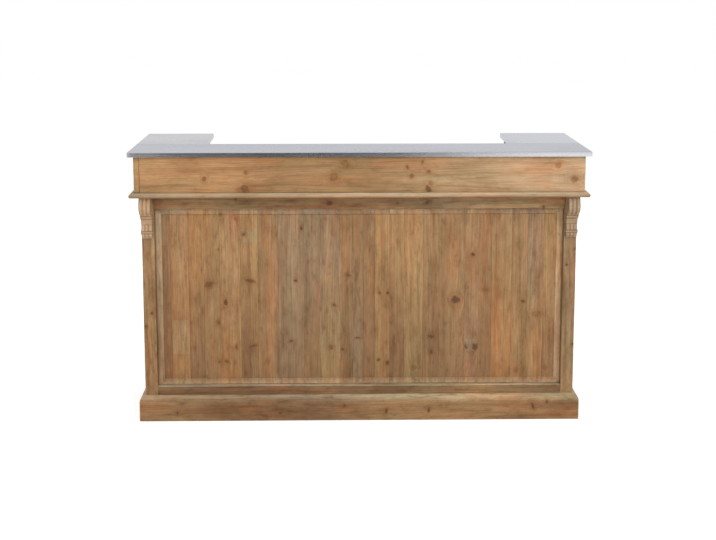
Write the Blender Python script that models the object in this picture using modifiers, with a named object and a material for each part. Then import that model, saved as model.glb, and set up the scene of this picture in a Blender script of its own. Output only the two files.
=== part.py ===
"""U-shaped bar counter in reclaimed pine under a folded zinc top.

Guests stand at -Y, where the panelled front is, and the bartender at +Y, between the two arms of
the top. The origin is on the floor under the middle of the top, +Z is up, and "left" is -X, as the
guests see it. All sizes are in metres.
"""

import math

import bmesh
import bpy
from mathutils import Matrix, Vector

# The top: a U of zinc sheet folded over a board core
TOP_WIDTH = 1.800
TOP_DEPTH = 0.660
TOP_HEIGHT = 1.100
ARM_WIDTH = 0.280
BAR_DEPTH = 0.280
ZINC_THICKNESS = 0.001
CORE_THICKNESS = 0.018

# The frieze under the top: fascia boards that stand on a moulded cornice
FASCIA_SETBACK = 0.021
FASCIA_THICKNESS = 0.023
FASCIA_HEIGHT = 0.141
CORNICE_SETBACK = 0.002
CORNICE_THICKNESS = 0.020
CORNICE_ROUND = 0.015
CORNICE_SEGMENTS = 5
BAR_RAIL_THICKNESS = 0.022
BAR_RAIL_HEIGHT = 0.060

# The panelled frames: how far the posts stand in from the edges of the top, and their members
FRONT_SETBACK = 0.096
SIDE_SETBACK = 0.037
REAR_SETBACK = 0.030
POST_WIDTH = 0.050
POST_DEPTH = 0.055
TOP_RAIL_HEIGHT = 0.058
BOTTOM_RAIL_START = 0.045
BOTTOM_RAIL_TOP = 0.139
TENON_THICKNESS = 0.014
TENON_LENGTH = 0.015
TENON_SHOULDER = 0.010
TONGUE_THICKNESS = 0.010
TONGUE_DEPTH = 0.008
PANEL_LIP = 0.012
PANEL_BEVEL = 0.026
PANEL_RAISE = 0.006

# The plinth
PLINTH_HEIGHT = 0.1045
PLINTH_THICKNESS = 0.022
PLINTH_ROUND = 0.018
PLINTH_SEGMENTS = 5

# The corbels under the cornice, as (drop below the cornice, reach in front of the post)
CORBEL_WIDTH = 0.047
CORBEL_OUTLINE = (
    (0.000, 0.064),
    (0.018, 0.076),
    (0.040, 0.082),
    (0.060, 0.070),
    (0.077, 0.046),
    (0.098, 0.028),
    (0.120, 0.022),
    (0.142, 0.026),
    (0.160, 0.023),
    (0.172, 0.010),
)
CORBEL_ROWS = 27
CORBEL_REEDS = 3
CORBEL_COLUMNS_PER_REED = 4
CORBEL_REED_DEPTH = 0.0035

# The cabinet behind the panels
BOTTOM_TOP = 0.105
BOTTOM_THICKNESS = 0.020
KICK_SETBACK = 0.045
KICK_THICKNESS = 0.020
WING_PANEL_SETBACK = 0.015
WING_PANEL_THICKNESS = 0.020
PARTITION_THICKNESS = 0.020
SHELF_THICKNESS = 0.018
SHELF_SETBACK = 0.015
LOWER_BAY_HEIGHT = 0.325
LOWER_WING_HEIGHT = 0.400
WORKTOP_TOP = 0.850
WORKTOP_THICKNESS = 0.022
WORKTOP_NOSE = 0.010
WORKTOP_ROUND = 0.006
WORKTOP_SEGMENTS = 3

# The two drawers, which run on the decks below the worktop
DRAWER_OPENING_HEIGHT = 0.130
DRAWER_REVEAL = 0.002
DRAWER_FRONT_THICKNESS = 0.020
DRAWER_LENGTH = 0.400
DRAWER_SIDE_THICKNESS = 0.012
DRAWER_SIDE_HEIGHT = 0.098
DRAWER_SIDE_CLEARANCE = 0.004
DRAWER_BOTTOM_THICKNESS = 0.006
DRAWER_BOTTOM_LIFT = 0.008
DRAWER_GROOVE_DEPTH = 0.005

# The turned knobs, two on each drawer
KNOB_RADIUS = 0.017
KNOB_REACH = 0.028
KNOB_HEAD_THICKNESS = 0.013
KNOB_NECK_RADIUS = 0.008
KNOB_NECK_FLARE = 0.002
KNOB_FOOT_RADIUS = 0.011
KNOB_FOOT_THICKNESS = 0.004
KNOB_SPIGOT_RADIUS = 0.005
KNOB_SPIGOT_LENGTH = 0.012
KNOB_SPACING = 0.320
KNOB_STEPS = 20
KNOB_ARC_STEPS = 6

# What lies against something else keeps this much air to it
GAP = 0.0003

# Points nearer than this are one point, and faces bent by less than the angles are flat or smooth
MERGE_DISTANCE = 0.0001
FLAT_ANGLE = math.radians(1)
SMOOTH_ANGLE = math.radians(40)

# Finishes as (red, green, blue), roughness and metallic
FINISHES = {
    "zinc": ((0.56, 0.58, 0.61), 0.38, 0.9),
    "core_board": ((0.50, 0.36, 0.22), 0.8, 0.0),
    "fascia_pine": ((0.52, 0.33, 0.17), 0.65, 0.0),
    "frame_pine": ((0.37, 0.24, 0.14), 0.68, 0.0),
    "panel_pine": ((0.41, 0.25, 0.13), 0.66, 0.0),
    "moulding_pine": ((0.46, 0.31, 0.18), 0.62, 0.0),
    "plinth_pine": ((0.40, 0.26, 0.14), 0.66, 0.0),
    "carved_pine": ((0.45, 0.31, 0.19), 0.64, 0.0),
    "inside_pine": ((0.50, 0.36, 0.22), 0.72, 0.0),
    "knob_wood": ((0.20, 0.12, 0.07), 0.5, 0.0),
}

# Levels, from the floor up and from the top down
TOP_THICKNESS = ZINC_THICKNESS + GAP + CORE_THICKNESS
CORE_BOTTOM = TOP_HEIGHT - TOP_THICKNESS
FASCIA_TOP = CORE_BOTTOM - GAP
FASCIA_BOTTOM = FASCIA_TOP - FASCIA_HEIGHT
CORNICE_TOP = FASCIA_BOTTOM - GAP
CORNICE_BOTTOM = CORNICE_TOP - CORNICE_THICKNESS
FRAME_TOP = CORNICE_BOTTOM - GAP
PANEL_OPENING_TOP = FRAME_TOP - TOP_RAIL_HEIGHT
BOTTOM_UNDERSIDE = BOTTOM_TOP - BOTTOM_THICKNESS
STANDING = BOTTOM_TOP + GAP
WORKTOP_BOTTOM = WORKTOP_TOP - WORKTOP_THICKNESS
DECK_TOP = WORKTOP_BOTTOM - GAP - DRAWER_OPENING_HEIGHT
DECK_BOTTOM = DECK_TOP - SHELF_THICKNESS

# Planes across the width: distances from the middle
TOP_EDGE_X = TOP_WIDTH / 2
ARM_EDGE_X = TOP_EDGE_X - ARM_WIDTH
FASCIA_X = TOP_EDGE_X - FASCIA_SETBACK
FASCIA_BACK_X = FASCIA_X - FASCIA_THICKNESS
CORNICE_X = TOP_EDGE_X - CORNICE_SETBACK
FRAME_X = TOP_EDGE_X - SIDE_SETBACK
FRAME_BACK_X = FRAME_X - POST_WIDTH
WING_PANEL_X = ARM_EDGE_X + WING_PANEL_SETBACK
WING_PANEL_BACK_X = WING_PANEL_X + WING_PANEL_THICKNESS
CORNICE_END_X = ARM_EDGE_X + CORNICE_SETBACK

# Planes through the depth, from the guests' side (negative) to the bartender's
TOP_FRONT_Y = -TOP_DEPTH / 2
TOP_REAR_Y = TOP_DEPTH / 2
BAR_REAR_Y = TOP_FRONT_Y + BAR_DEPTH
FASCIA_Y = TOP_FRONT_Y + FASCIA_SETBACK
FASCIA_BACK_Y = FASCIA_Y + FASCIA_THICKNESS
CORNICE_Y = TOP_FRONT_Y + CORNICE_SETBACK
FRAME_Y = TOP_FRONT_Y + FRONT_SETBACK
FRAME_BACK_Y = FRAME_Y + POST_DEPTH
REAR_POST_REAR_Y = TOP_REAR_Y - REAR_SETBACK
REAR_POST_FRONT_Y = REAR_POST_REAR_Y - POST_DEPTH
REAR_FASCIA_REAR_Y = TOP_REAR_Y - FASCIA_SETBACK
REAR_FASCIA_FRONT_Y = REAR_FASCIA_REAR_Y - FASCIA_THICKNESS
REAR_CORNICE_Y = TOP_REAR_Y - CORNICE_SETBACK
CABINET_REAR_Y = REAR_FASCIA_FRONT_Y - GAP
WORKTOP_REAR_Y = CABINET_REAR_Y + WORKTOP_NOSE
SHELF_REAR_Y = CABINET_REAR_Y - SHELF_SETBACK


def clear_scene():
    """Empties the scene and returns its two collections: the counter's pieces and the helpers."""
    for old in list(bpy.data.objects):
        bpy.data.objects.remove(old)
    found = []
    for name in ("bar_counter", "cutters"):
        collection = bpy.data.collections.new(name)
        bpy.context.scene.collection.children.link(collection)
        found.append(collection)
    return found


def make_finish(name):
    """The Principled material of that name from the FINISHES table."""
    colour, roughness, metallic = FINISHES[name]
    finish = bpy.data.materials.new(name)
    finish.use_nodes = True
    shader = finish.node_tree.nodes["Principled BSDF"]
    shader.inputs["Base Color"].default_value = (*colour, 1.0)
    shader.inputs["Roughness"].default_value = roughness
    shader.inputs["Metallic"].default_value = metallic
    return finish


def place(obj, collection):
    """Puts an object in one collection only."""
    for old in list(obj.users_collection):
        old.objects.unlink(obj)
    collection.objects.link(obj)
    return obj


def as_piece(obj, finish):
    """Files an object as one of the counter's pieces, with its finish."""
    obj.data.materials.clear()
    obj.data.materials.append(MATERIALS[finish])
    return place(obj, PIECES)


def as_helper(obj):
    """Files an object as a cutter, which the render and the build leave out."""
    obj.hide_render = True
    obj.display_type = "WIRE"
    return place(obj, CUTTERS)


def cuboid(name, low, high):
    """A box between two corners, with its origin at its middle."""
    low, high = Vector(low), Vector(high)
    bpy.ops.mesh.primitive_cube_add(size=1, location=(low + high) / 2)
    obj = bpy.context.object
    obj.name = name
    obj.data.transform(Matrix.Diagonal((*(high - low), 1)))
    return obj


def board(name, low, high, finish):
    """A plain board."""
    return as_piece(cuboid(name, low, high), finish)


def cutter_box(name, low, high, room=GAP):
    """A helper box, grown by the room that the piece in it needs."""
    margin = Vector((room, room, room))
    return as_helper(cuboid(name, Vector(low) - margin, Vector(high) + margin))


def combine(obj, helper, operation):
    """Cuts a helper out of a piece, or joins it on."""
    modifier = obj.modifiers.new(f"{operation.lower()}_{helper.name}", "BOOLEAN")
    modifier.operation = operation
    modifier.solver = "EXACT"
    modifier.object = helper
    return obj


def plate(name, outline, bottom, top):
    """A flat piece with any outline: a filled, extruded 2D curve that is turned into a closed mesh."""
    curve = bpy.data.curves.new(name, "CURVE")
    curve.dimensions = "2D"
    curve.fill_mode = "BOTH"
    curve.extrude = (top - bottom) / 2
    spline = curve.splines.new("POLY")
    spline.points.add(len(outline) - 1)
    for point, (x, y) in zip(spline.points, outline):
        point.co = (x, y, 0, 1)
    spline.use_cyclic_u = True
    drawn = bpy.data.objects.new(f"{name}_outline", curve)
    drawn.location.z = (top + bottom) / 2
    CUTTERS.objects.link(drawn)
    bpy.context.view_layer.update()
    graph = bpy.context.evaluated_depsgraph_get()
    mesh = bpy.data.meshes.new_from_object(drawn.evaluated_get(graph))
    obj = bpy.data.objects.new(name, mesh)
    obj.matrix_world = drawn.matrix_world
    bpy.data.objects.remove(drawn)
    bm = bmesh.new()
    bm.from_mesh(mesh)
    bmesh.ops.remove_doubles(bm, verts=bm.verts, dist=MERGE_DISTANCE)
    bmesh.ops.dissolve_limit(bm, angle_limit=FLAT_ANGLE, verts=bm.verts, edges=bm.edges)
    bmesh.ops.recalc_face_normals(bm, faces=bm.faces)
    bm.to_mesh(mesh)
    bm.free()
    return obj


def round_edge(obj, points, width, segments):
    """Rounds the edges whose middles lie nearest these world points."""
    bm = bmesh.new()
    bm.from_mesh(obj.data)
    local = [obj.matrix_world.inverted() @ Vector(point) for point in points]
    edges = []
    for point in local:
        far = [((edge.verts[0].co + edge.verts[1].co) / 2 - point).length for edge in bm.edges]
        bm.edges.ensure_lookup_table()
        edges.append(bm.edges[far.index(min(far))])
    bmesh.ops.bevel(bm, geom=edges, offset=width, segments=segments, profile=0.5, affect="EDGES")
    bm.to_mesh(obj.data)
    bm.free()
    obj.data.shade_smooth()
    obj.data.set_sharp_from_angle(angle=SMOOTH_ANGLE)
    return obj


def turned_to(side, outline):
    """An outline drawn for the right-hand (+X) side, mirrored for the left if side is -1."""
    mirrored = [(side * x, y) for x, y in outline]
    return mirrored if side > 0 else mirrored[::-1]


def zinc_sheet(name, low, high, missing, kept_flange=None):
    """A folded zinc cap: a box open below, with no flange where its middle lies in `missing`.

    The rear flange of the front sheet stays only between the arms, inside `kept_flange`.
    """
    obj = cuboid(name, low, high)
    bm = bmesh.new()
    bm.from_mesh(obj.data)
    bmesh.ops.transform(bm, matrix=Matrix.Translation(obj.location), verts=bm.verts)
    for x in kept_flange or ():
        geometry = bm.verts[:] + bm.edges[:] + bm.faces[:]
        bmesh.ops.bisect_plane(bm, geom=geometry, plane_co=(x, 0, 0), plane_no=(1, 0, 0))
    gone = []
    for face in bm.faces:
        normal, middle = face.normal, face.calc_center_median()
        in_flange = kept_flange and kept_flange[0] < middle.x < kept_flange[1]
        if normal.z < -0.5 or (normal.dot(Vector(missing)) > 0.5 and not in_flange):
            gone.append(face)
    bmesh.ops.delete(bm, geom=gone, context="FACES")
    bmesh.ops.transform(bm, matrix=Matrix.Translation(-obj.location), verts=bm.verts)
    bm.to_mesh(obj.data)
    bm.free()
    fold = obj.modifiers.new("sheet", "SOLIDIFY")
    fold.thickness = ZINC_THICKNESS
    fold.offset = -1
    fold.use_even_offset = True
    fold.use_quality_normals = True
    return as_piece(obj, "zinc")


def build_top():
    """The U-shaped core and the three zinc sheets folded over its bar and its two arms."""
    skin = ZINC_THICKNESS + GAP
    x, arm_x = TOP_EDGE_X - skin, ARM_EDGE_X + skin
    front, rear, inner = TOP_FRONT_Y + skin, TOP_REAR_Y - skin, BAR_REAR_Y - skin
    outline = [
        (-x, front),
        (x, front),
        (x, rear),
        (arm_x, rear),
        (arm_x, inner),
        (-arm_x, inner),
        (-arm_x, rear),
        (-x, rear),
    ]
    core = plate("top_core", outline, CORE_BOTTOM, CORE_BOTTOM + CORE_THICKNESS)
    as_piece(core, "core_board")
    zinc_sheet(
        "zinc_bar_sheet",
        (-TOP_EDGE_X, TOP_FRONT_Y, CORE_BOTTOM),
        (TOP_EDGE_X, BAR_REAR_Y, TOP_HEIGHT),
        (0, 1, 0),
        (-ARM_EDGE_X, ARM_EDGE_X),
    )
    for side, word in ((-1, "left"), (1, "right")):
        near, far = sorted((side * ARM_EDGE_X, side * TOP_EDGE_X))
        zinc_sheet(
            f"zinc_{word}_arm_sheet",
            (near, BAR_REAR_Y + GAP, CORE_BOTTOM),
            (far, TOP_REAR_Y, TOP_HEIGHT),
            (0, -1, 0),
        )


def build_cornice():
    """Five moulded boards that lie on the frames, mitred at their outer corners."""
    front_mitre = CORNICE_X - FRAME_BACK_X
    rear_mitre = REAR_CORNICE_Y - REAR_FASCIA_FRONT_Y
    mitre = GAP / math.sqrt(2)
    inner_x = FRAME_BACK_X - GAP
    corner_y = CORNICE_Y + front_mitre
    front = [
        (-CORNICE_X + mitre, CORNICE_Y),
        (CORNICE_X - mitre, CORNICE_Y),
        (inner_x, corner_y + GAP - mitre),
        (inner_x, FRAME_BACK_Y),
        (-inner_x, FRAME_BACK_Y),
        (-inner_x, corner_y + GAP - mitre),
    ]
    piece = plate("front_cornice", front, CORNICE_BOTTOM, CORNICE_TOP)
    round_edge(piece, [(0, CORNICE_Y, CORNICE_TOP)], CORNICE_ROUND, CORNICE_SEGMENTS)
    as_piece(piece, "moulding_pine")
    for side, word in ((-1, "left"), (1, "right")):
        flank = [
            (CORNICE_X, CORNICE_Y + mitre),
            (CORNICE_X, REAR_CORNICE_Y - mitre),
            (CORNICE_X - rear_mitre, REAR_FASCIA_FRONT_Y - mitre),
            (FRAME_BACK_X, REAR_FASCIA_FRONT_Y - mitre),
            (FRAME_BACK_X, corner_y + mitre),
        ]
        piece = plate(f"{word}_cornice", turned_to(side, flank), CORNICE_BOTTOM, CORNICE_TOP)
        middle_y = (CORNICE_Y + REAR_CORNICE_Y) / 2
        edge = (side * CORNICE_X, middle_y, CORNICE_TOP)
        round_edge(piece, [edge], CORNICE_ROUND, CORNICE_SEGMENTS)
        as_piece(piece, "moulding_pine")
        rear = [
            (CORNICE_X - mitre, REAR_CORNICE_Y),
            (CORNICE_END_X, REAR_CORNICE_Y),
            (CORNICE_END_X, REAR_FASCIA_FRONT_Y),
            (CORNICE_X - rear_mitre - mitre, REAR_FASCIA_FRONT_Y),
        ]
        piece = plate(f"{word}_rear_cornice", turned_to(side, rear), CORNICE_BOTTOM, CORNICE_TOP)
        middle_x = side * (CORNICE_X + CORNICE_END_X) / 2
        edge = (middle_x, REAR_CORNICE_Y, CORNICE_TOP)
        round_edge(piece, [edge], CORNICE_ROUND, CORNICE_SEGMENTS)
        as_piece(piece, "moulding_pine")


def build_frieze():
    """The fascia boards on the cornice, and the rail that carries the rear edge of the bar."""
    between = FASCIA_BACK_X - GAP
    board(
        "front_fascia",
        (-between, FASCIA_Y, FASCIA_BOTTOM),
        (between, FASCIA_BACK_Y, FASCIA_TOP),
        "fascia_pine",
    )
    for side, word in ((-1, "left"), (1, "right")):
        near, far = sorted((side * FASCIA_BACK_X, side * FASCIA_X))
        board(
            f"{word}_fascia",
            (near, FASCIA_Y, FASCIA_BOTTOM),
            (far, REAR_FASCIA_REAR_Y, FASCIA_TOP),
            "fascia_pine",
        )
        near, far = sorted((side * WING_PANEL_X, side * between))
        board(
            f"{word}_rear_fascia",
            (near, REAR_FASCIA_FRONT_Y, FASCIA_BOTTOM),
            (far, REAR_FASCIA_REAR_Y, FASCIA_TOP),
            "fascia_pine",
        )
    rail_x = WING_PANEL_X - GAP
    rail_rear = BAR_REAR_Y - FASCIA_SETBACK
    board(
        "bar_rear_rail",
        (-rail_x, rail_rear - BAR_RAIL_THICKNESS, FASCIA_TOP - BAR_RAIL_HEIGHT),
        (rail_x, rail_rear, FASCIA_TOP),
        "inside_pine",
    )


def tenoned_rail(name, low, high, axis):
    """A rail between two posts, with a tenon on each end; axis is 0 along X or 1 along Y."""
    rail = board(name, low, high, "frame_pine")
    across = 1 - axis
    middle = (low[across] + high[across]) / 2
    start, end = list(low), list(high)
    start[axis] -= TENON_LENGTH
    end[axis] += TENON_LENGTH
    start[across] = middle - TENON_THICKNESS / 2
    end[across] = middle + TENON_THICKNESS / 2
    start[2] += TENON_SHOULDER
    end[2] -= TENON_SHOULDER
    combine(rail, as_helper(cuboid(f"{name}_tenons", start, end)), "UNION")
    return rail, cutter_box(f"{name}_mortises", start, end)


def raised_panel(name, width, height, turn):
    """An upright raised panel for an opening: its tongue, its sloped border and its field.

    Its origin is at the middle of its field's face, which looks to -Y before the turn about Z.
    """
    outer = (width / 2 + TONGUE_DEPTH - GAP, height / 2 + TONGUE_DEPTH - GAP)
    border_y = PANEL_RAISE
    back_y = border_y + TONGUE_THICKNESS
    obj = cuboid(name, (-outer[0], border_y, -outer[1]), (outer[0], back_y, outer[1]))
    bm = bmesh.new()
    bm.from_mesh(obj.data)
    bmesh.ops.transform(bm, matrix=Matrix.Translation(obj.location), verts=bm.verts)
    face = [min(bm.faces, key=lambda f: f.calc_center_median().y)]
    # the tongue stays flat, and the border slopes up from it to the field
    bmesh.ops.inset_region(bm, faces=face, thickness=TONGUE_DEPTH, use_even_offset=True)
    bmesh.ops.inset_region(bm, faces=face, thickness=PANEL_BEVEL, use_even_offset=True)
    bmesh.ops.translate(bm, verts=face[0].verts, vec=(0, -PANEL_RAISE, 0))
    bmesh.ops.transform(bm, matrix=Matrix.Rotation(turn, 4, "Z"), verts=bm.verts)
    bm.to_mesh(obj.data)
    bm.free()
    return as_piece(obj, "panel_pine")


def build_frames():
    """The panelled front and sides: posts, tenoned rails and raised panels in their grooves."""
    posts = {}
    for side, word in ((-1, "left"), (1, "right")):
        near, far = sorted((side * FRAME_BACK_X, side * FRAME_X))
        for end, front_y in (("front", FRAME_Y), ("rear", REAR_POST_FRONT_Y)):
            posts[end, side] = board(
                f"{word}_{end}_post",
                (near, front_y, 0),
                (far, front_y + POST_DEPTH, FRAME_TOP),
                "frame_pine",
            )

    levels = {
        "top": (PANEL_OPENING_TOP, FRAME_TOP),
        "bottom": (BOTTOM_RAIL_START, BOTTOM_RAIL_TOP),
    }
    opening_middle = (BOTTOM_RAIL_TOP + PANEL_OPENING_TOP) / 2
    opening_height = PANEL_OPENING_TOP - BOTTOM_RAIL_TOP
    recess = PANEL_LIP + TONGUE_THICKNESS + PANEL_RAISE

    between = FRAME_BACK_X - GAP
    panel = raised_panel("front_panel", 2 * FRAME_BACK_X, opening_height, 0)
    panel.location = (0, FRAME_BACK_Y - recess, opening_middle)
    groove = cutter_box(
        "front_panel_groove",
        (
            -FRAME_BACK_X - TONGUE_DEPTH,
            FRAME_BACK_Y - PANEL_LIP - TONGUE_THICKNESS,
            BOTTOM_RAIL_TOP - TONGUE_DEPTH,
        ),
        (FRAME_BACK_X + TONGUE_DEPTH, FRAME_BACK_Y - PANEL_LIP, PANEL_OPENING_TOP + TONGUE_DEPTH),
    )
    for word, (low, high) in levels.items():
        name = f"front_{word}_rail"
        corners = ((-between, FRAME_Y, low), (between, FRAME_BACK_Y, high))
        rail, mortise = tenoned_rail(name, *corners, 0)
        combine(rail, groove, "DIFFERENCE")
        for side in (-1, 1):
            combine(posts["front", side], mortise, "DIFFERENCE")
    for side in (-1, 1):
        combine(posts["front", side], groove, "DIFFERENCE")

    start_y, end_y = FRAME_BACK_Y + GAP, REAR_POST_FRONT_Y - GAP
    side_width = REAR_POST_FRONT_Y - FRAME_BACK_Y
    for side, hand in ((-1, "left"), (1, "right")):
        panel = raised_panel(f"{hand}_side_panel", side_width, opening_height, side * math.pi / 2)
        middle_y = (FRAME_BACK_Y + REAR_POST_FRONT_Y) / 2
        panel.location = (side * (FRAME_BACK_X + recess), middle_y, opening_middle)
        near, far = sorted(
            (side * (FRAME_BACK_X + PANEL_LIP), side * (FRAME_BACK_X + PANEL_LIP + TONGUE_THICKNESS))
        )
        groove = cutter_box(
            f"{hand}_side_groove",
            (near, FRAME_BACK_Y - TONGUE_DEPTH, BOTTOM_RAIL_TOP - TONGUE_DEPTH),
            (far, REAR_POST_FRONT_Y + TONGUE_DEPTH, PANEL_OPENING_TOP + TONGUE_DEPTH),
        )
        near, far = sorted((side * FRAME_BACK_X, side * FRAME_X))
        for word, (low, high) in levels.items():
            name = f"{hand}_side_{word}_rail"
            rail, mortise = tenoned_rail(name, (near, start_y, low), (far, end_y, high), 1)
            combine(rail, groove, "DIFFERENCE")
            for end in ("front", "rear"):
                combine(posts[end, side], mortise, "DIFFERENCE")
        for end in ("front", "rear"):
            combine(posts[end, side], groove, "DIFFERENCE")


def build_plinth():
    """Three moulded boards round the foot of the frames, mitred at the front corners."""
    outer_x, outer_y = FRAME_X + GAP + PLINTH_THICKNESS, FRAME_Y - GAP - PLINTH_THICKNESS
    inner_x, inner_y = FRAME_X + GAP, FRAME_Y - GAP
    mitre = GAP / math.sqrt(2)
    front = [
        (-outer_x + mitre, outer_y),
        (outer_x - mitre, outer_y),
        (inner_x - mitre, inner_y),
        (-inner_x + mitre, inner_y),
    ]
    piece = plate("front_plinth", front, 0, PLINTH_HEIGHT)
    round_edge(piece, [(0, outer_y, PLINTH_HEIGHT)], PLINTH_ROUND, PLINTH_SEGMENTS)
    as_piece(piece, "plinth_pine")
    for side, word in ((-1, "left"), (1, "right")):
        flank = [
            (inner_x, inner_y + mitre),
            (outer_x, outer_y + mitre),
            (outer_x, REAR_POST_REAR_Y),
            (inner_x, REAR_POST_REAR_Y),
        ]
        piece = plate(f"{word}_plinth", turned_to(side, flank), 0, PLINTH_HEIGHT)
        edge = (side * outer_x, (outer_y + REAR_POST_REAR_Y) / 2, PLINTH_HEIGHT)
        round_edge(piece, [edge], PLINTH_ROUND, PLINTH_SEGMENTS)
        as_piece(piece, "plinth_pine")


def corbel_reach(drop):
    """How far the corbel stands out at a drop: a Catmull-Rom curve through CORBEL_OUTLINE."""
    points = [CORBEL_OUTLINE[0], *CORBEL_OUTLINE, CORBEL_OUTLINE[-1]]
    span = 1
    while span < len(points) - 3 and drop > points[span + 1][0]:
        span += 1
    (_, a), (start, b), (end, c), (_, d) = points[span - 1 : span + 3]
    t = (drop - start) / (end - start)
    bend = (2 * a - 5 * b + 4 * c - d) * t + (3 * b - 3 * c + d - a) * t * t
    return b + 0.5 * t * (c - a + bend)


def build_corbels():
    """The two carved brackets: a reeded scroll front on a block that lies against its post."""
    columns = CORBEL_REEDS * CORBEL_COLUMNS_PER_REED
    height = CORBEL_OUTLINE[-1][0]
    for side, word in ((-1, "left"), (1, "right")):
        bm = bmesh.new()
        bmesh.ops.create_grid(bm, x_segments=columns, y_segments=CORBEL_ROWS, size=0.5)
        for vert in bm.verts:
            across, drop = vert.co.x + 0.5, (0.5 - vert.co.y) * height
            groove = 1 - abs(math.sin(CORBEL_REEDS * math.pi * across))
            reach = corbel_reach(drop) - CORBEL_REED_DEPTH * groove
            vert.co = ((across - 0.5) * CORBEL_WIDTH, -reach, -drop)
        rim = [edge for edge in bm.edges if edge.is_boundary]
        grown = bmesh.ops.extrude_edge_only(bm, edges=rim)["geom"]
        for vert in grown:
            if isinstance(vert, bmesh.types.BMVert):
                vert.co.y = -GAP
        bmesh.ops.holes_fill(bm, edges=[edge for edge in bm.edges if edge.is_boundary])
        bmesh.ops.recalc_face_normals(bm, faces=bm.faces)
        mesh = bpy.data.meshes.new(f"{word}_corbel")
        bm.to_mesh(mesh)
        bm.free()
        mesh.shade_smooth()
        mesh.set_sharp_from_angle(angle=SMOOTH_ANGLE)
        obj = bpy.data.objects.new(f"{word}_corbel", mesh)
        obj.location = (side * (FRAME_X - CORBEL_WIDTH / 2), FRAME_Y, FRAME_TOP)
        as_piece(obj, "carved_pine")


def build_cabinet():
    """The boards behind the panels: bottom, wings, partition, shelves, decks and worktop."""
    start_y = FRAME_BACK_Y + GAP
    floor_x = FRAME_BACK_X - GAP
    board(
        "bottom_board",
        (-floor_x, start_y, BOTTOM_UNDERSIDE),
        (floor_x, CABINET_REAR_Y, BOTTOM_TOP),
        "inside_pine",
    )
    kick_rear = CABINET_REAR_Y - KICK_SETBACK
    board(
        "rear_kick_board",
        (-floor_x, kick_rear - KICK_THICKNESS, 0),
        (floor_x, kick_rear, BOTTOM_UNDERSIDE - GAP),
        "inside_pine",
    )
    board(
        "partition",
        (-PARTITION_THICKNESS / 2, start_y, STANDING),
        (PARTITION_THICKNESS / 2, CABINET_REAR_Y, WORKTOP_BOTTOM - GAP),
        "inside_pine",
    )
    worktop_x = WING_PANEL_X - GAP
    worktop = cuboid(
        "worktop",
        (-worktop_x, start_y, WORKTOP_BOTTOM),
        (worktop_x, WORKTOP_REAR_Y, WORKTOP_TOP),
    )
    edges = [(0, WORKTOP_REAR_Y, WORKTOP_TOP), (0, WORKTOP_REAR_Y, WORKTOP_BOTTOM)]
    bpy.context.view_layer.update()
    round_edge(worktop, edges, WORKTOP_ROUND, WORKTOP_SEGMENTS)
    as_piece(worktop, "inside_pine")
    for side, word in ((-1, "left"), (1, "right")):
        near, far = sorted((side * WING_PANEL_X, side * WING_PANEL_BACK_X))
        board(
            f"{word}_wing_panel",
            (near, start_y, STANDING),
            (far, CABINET_REAR_Y, FASCIA_TOP),
            "inside_pine",
        )
        near, far = sorted((side * (WING_PANEL_BACK_X + GAP), side * (FRAME_BACK_X - GAP)))
        shelf_z = BOTTOM_TOP + LOWER_WING_HEIGHT
        board(
            f"{word}_wing_shelf",
            (near, start_y, shelf_z),
            (far, SHELF_REAR_Y, shelf_z + SHELF_THICKNESS),
            "inside_pine",
        )
        near, far = sorted(
            (side * (PARTITION_THICKNESS / 2 + GAP), side * (WING_PANEL_X - GAP))
        )
        shelf_z = BOTTOM_TOP + LOWER_BAY_HEIGHT
        board(
            f"{word}_bay_shelf",
            (near, start_y, shelf_z),
            (far, SHELF_REAR_Y, shelf_z + SHELF_THICKNESS),
            "inside_pine",
        )
        board(
            f"{word}_drawer_deck",
            (near, start_y, DECK_BOTTOM),
            (far, CABINET_REAR_Y, DECK_TOP),
            "inside_pine",
        )


def knob_mesh():
    """A turned knob about Z: its rounded head on top, then neck, foot and spigot, down to the tip."""
    head_base = KNOB_REACH - KNOB_HEAD_THICKNESS
    half = KNOB_HEAD_THICKNESS / 2
    profile = [(0.0, KNOB_REACH)]
    for step in range(KNOB_ARC_STEPS + 1):
        angle = math.pi * (0.5 - step / KNOB_ARC_STEPS)
        radius = KNOB_RADIUS - half + half * math.cos(angle)
        profile.append((radius, head_base + half + half * math.sin(angle)))
    profile += [
        (KNOB_NECK_RADIUS, head_base - KNOB_NECK_FLARE),
        (KNOB_NECK_RADIUS, KNOB_FOOT_THICKNESS + KNOB_NECK_FLARE),
        (KNOB_FOOT_RADIUS, KNOB_FOOT_THICKNESS),
        (KNOB_FOOT_RADIUS, GAP),
        (KNOB_SPIGOT_RADIUS, GAP),
        (KNOB_SPIGOT_RADIUS, -KNOB_SPIGOT_LENGTH),
        (0.0, -KNOB_SPIGOT_LENGTH),
    ]
    mesh = bpy.data.meshes.new("knob")
    points = [(radius, 0, z) for radius, z in profile]
    mesh.from_pydata(points, [(i, i + 1) for i in range(len(points) - 1)], [])
    return mesh


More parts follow.
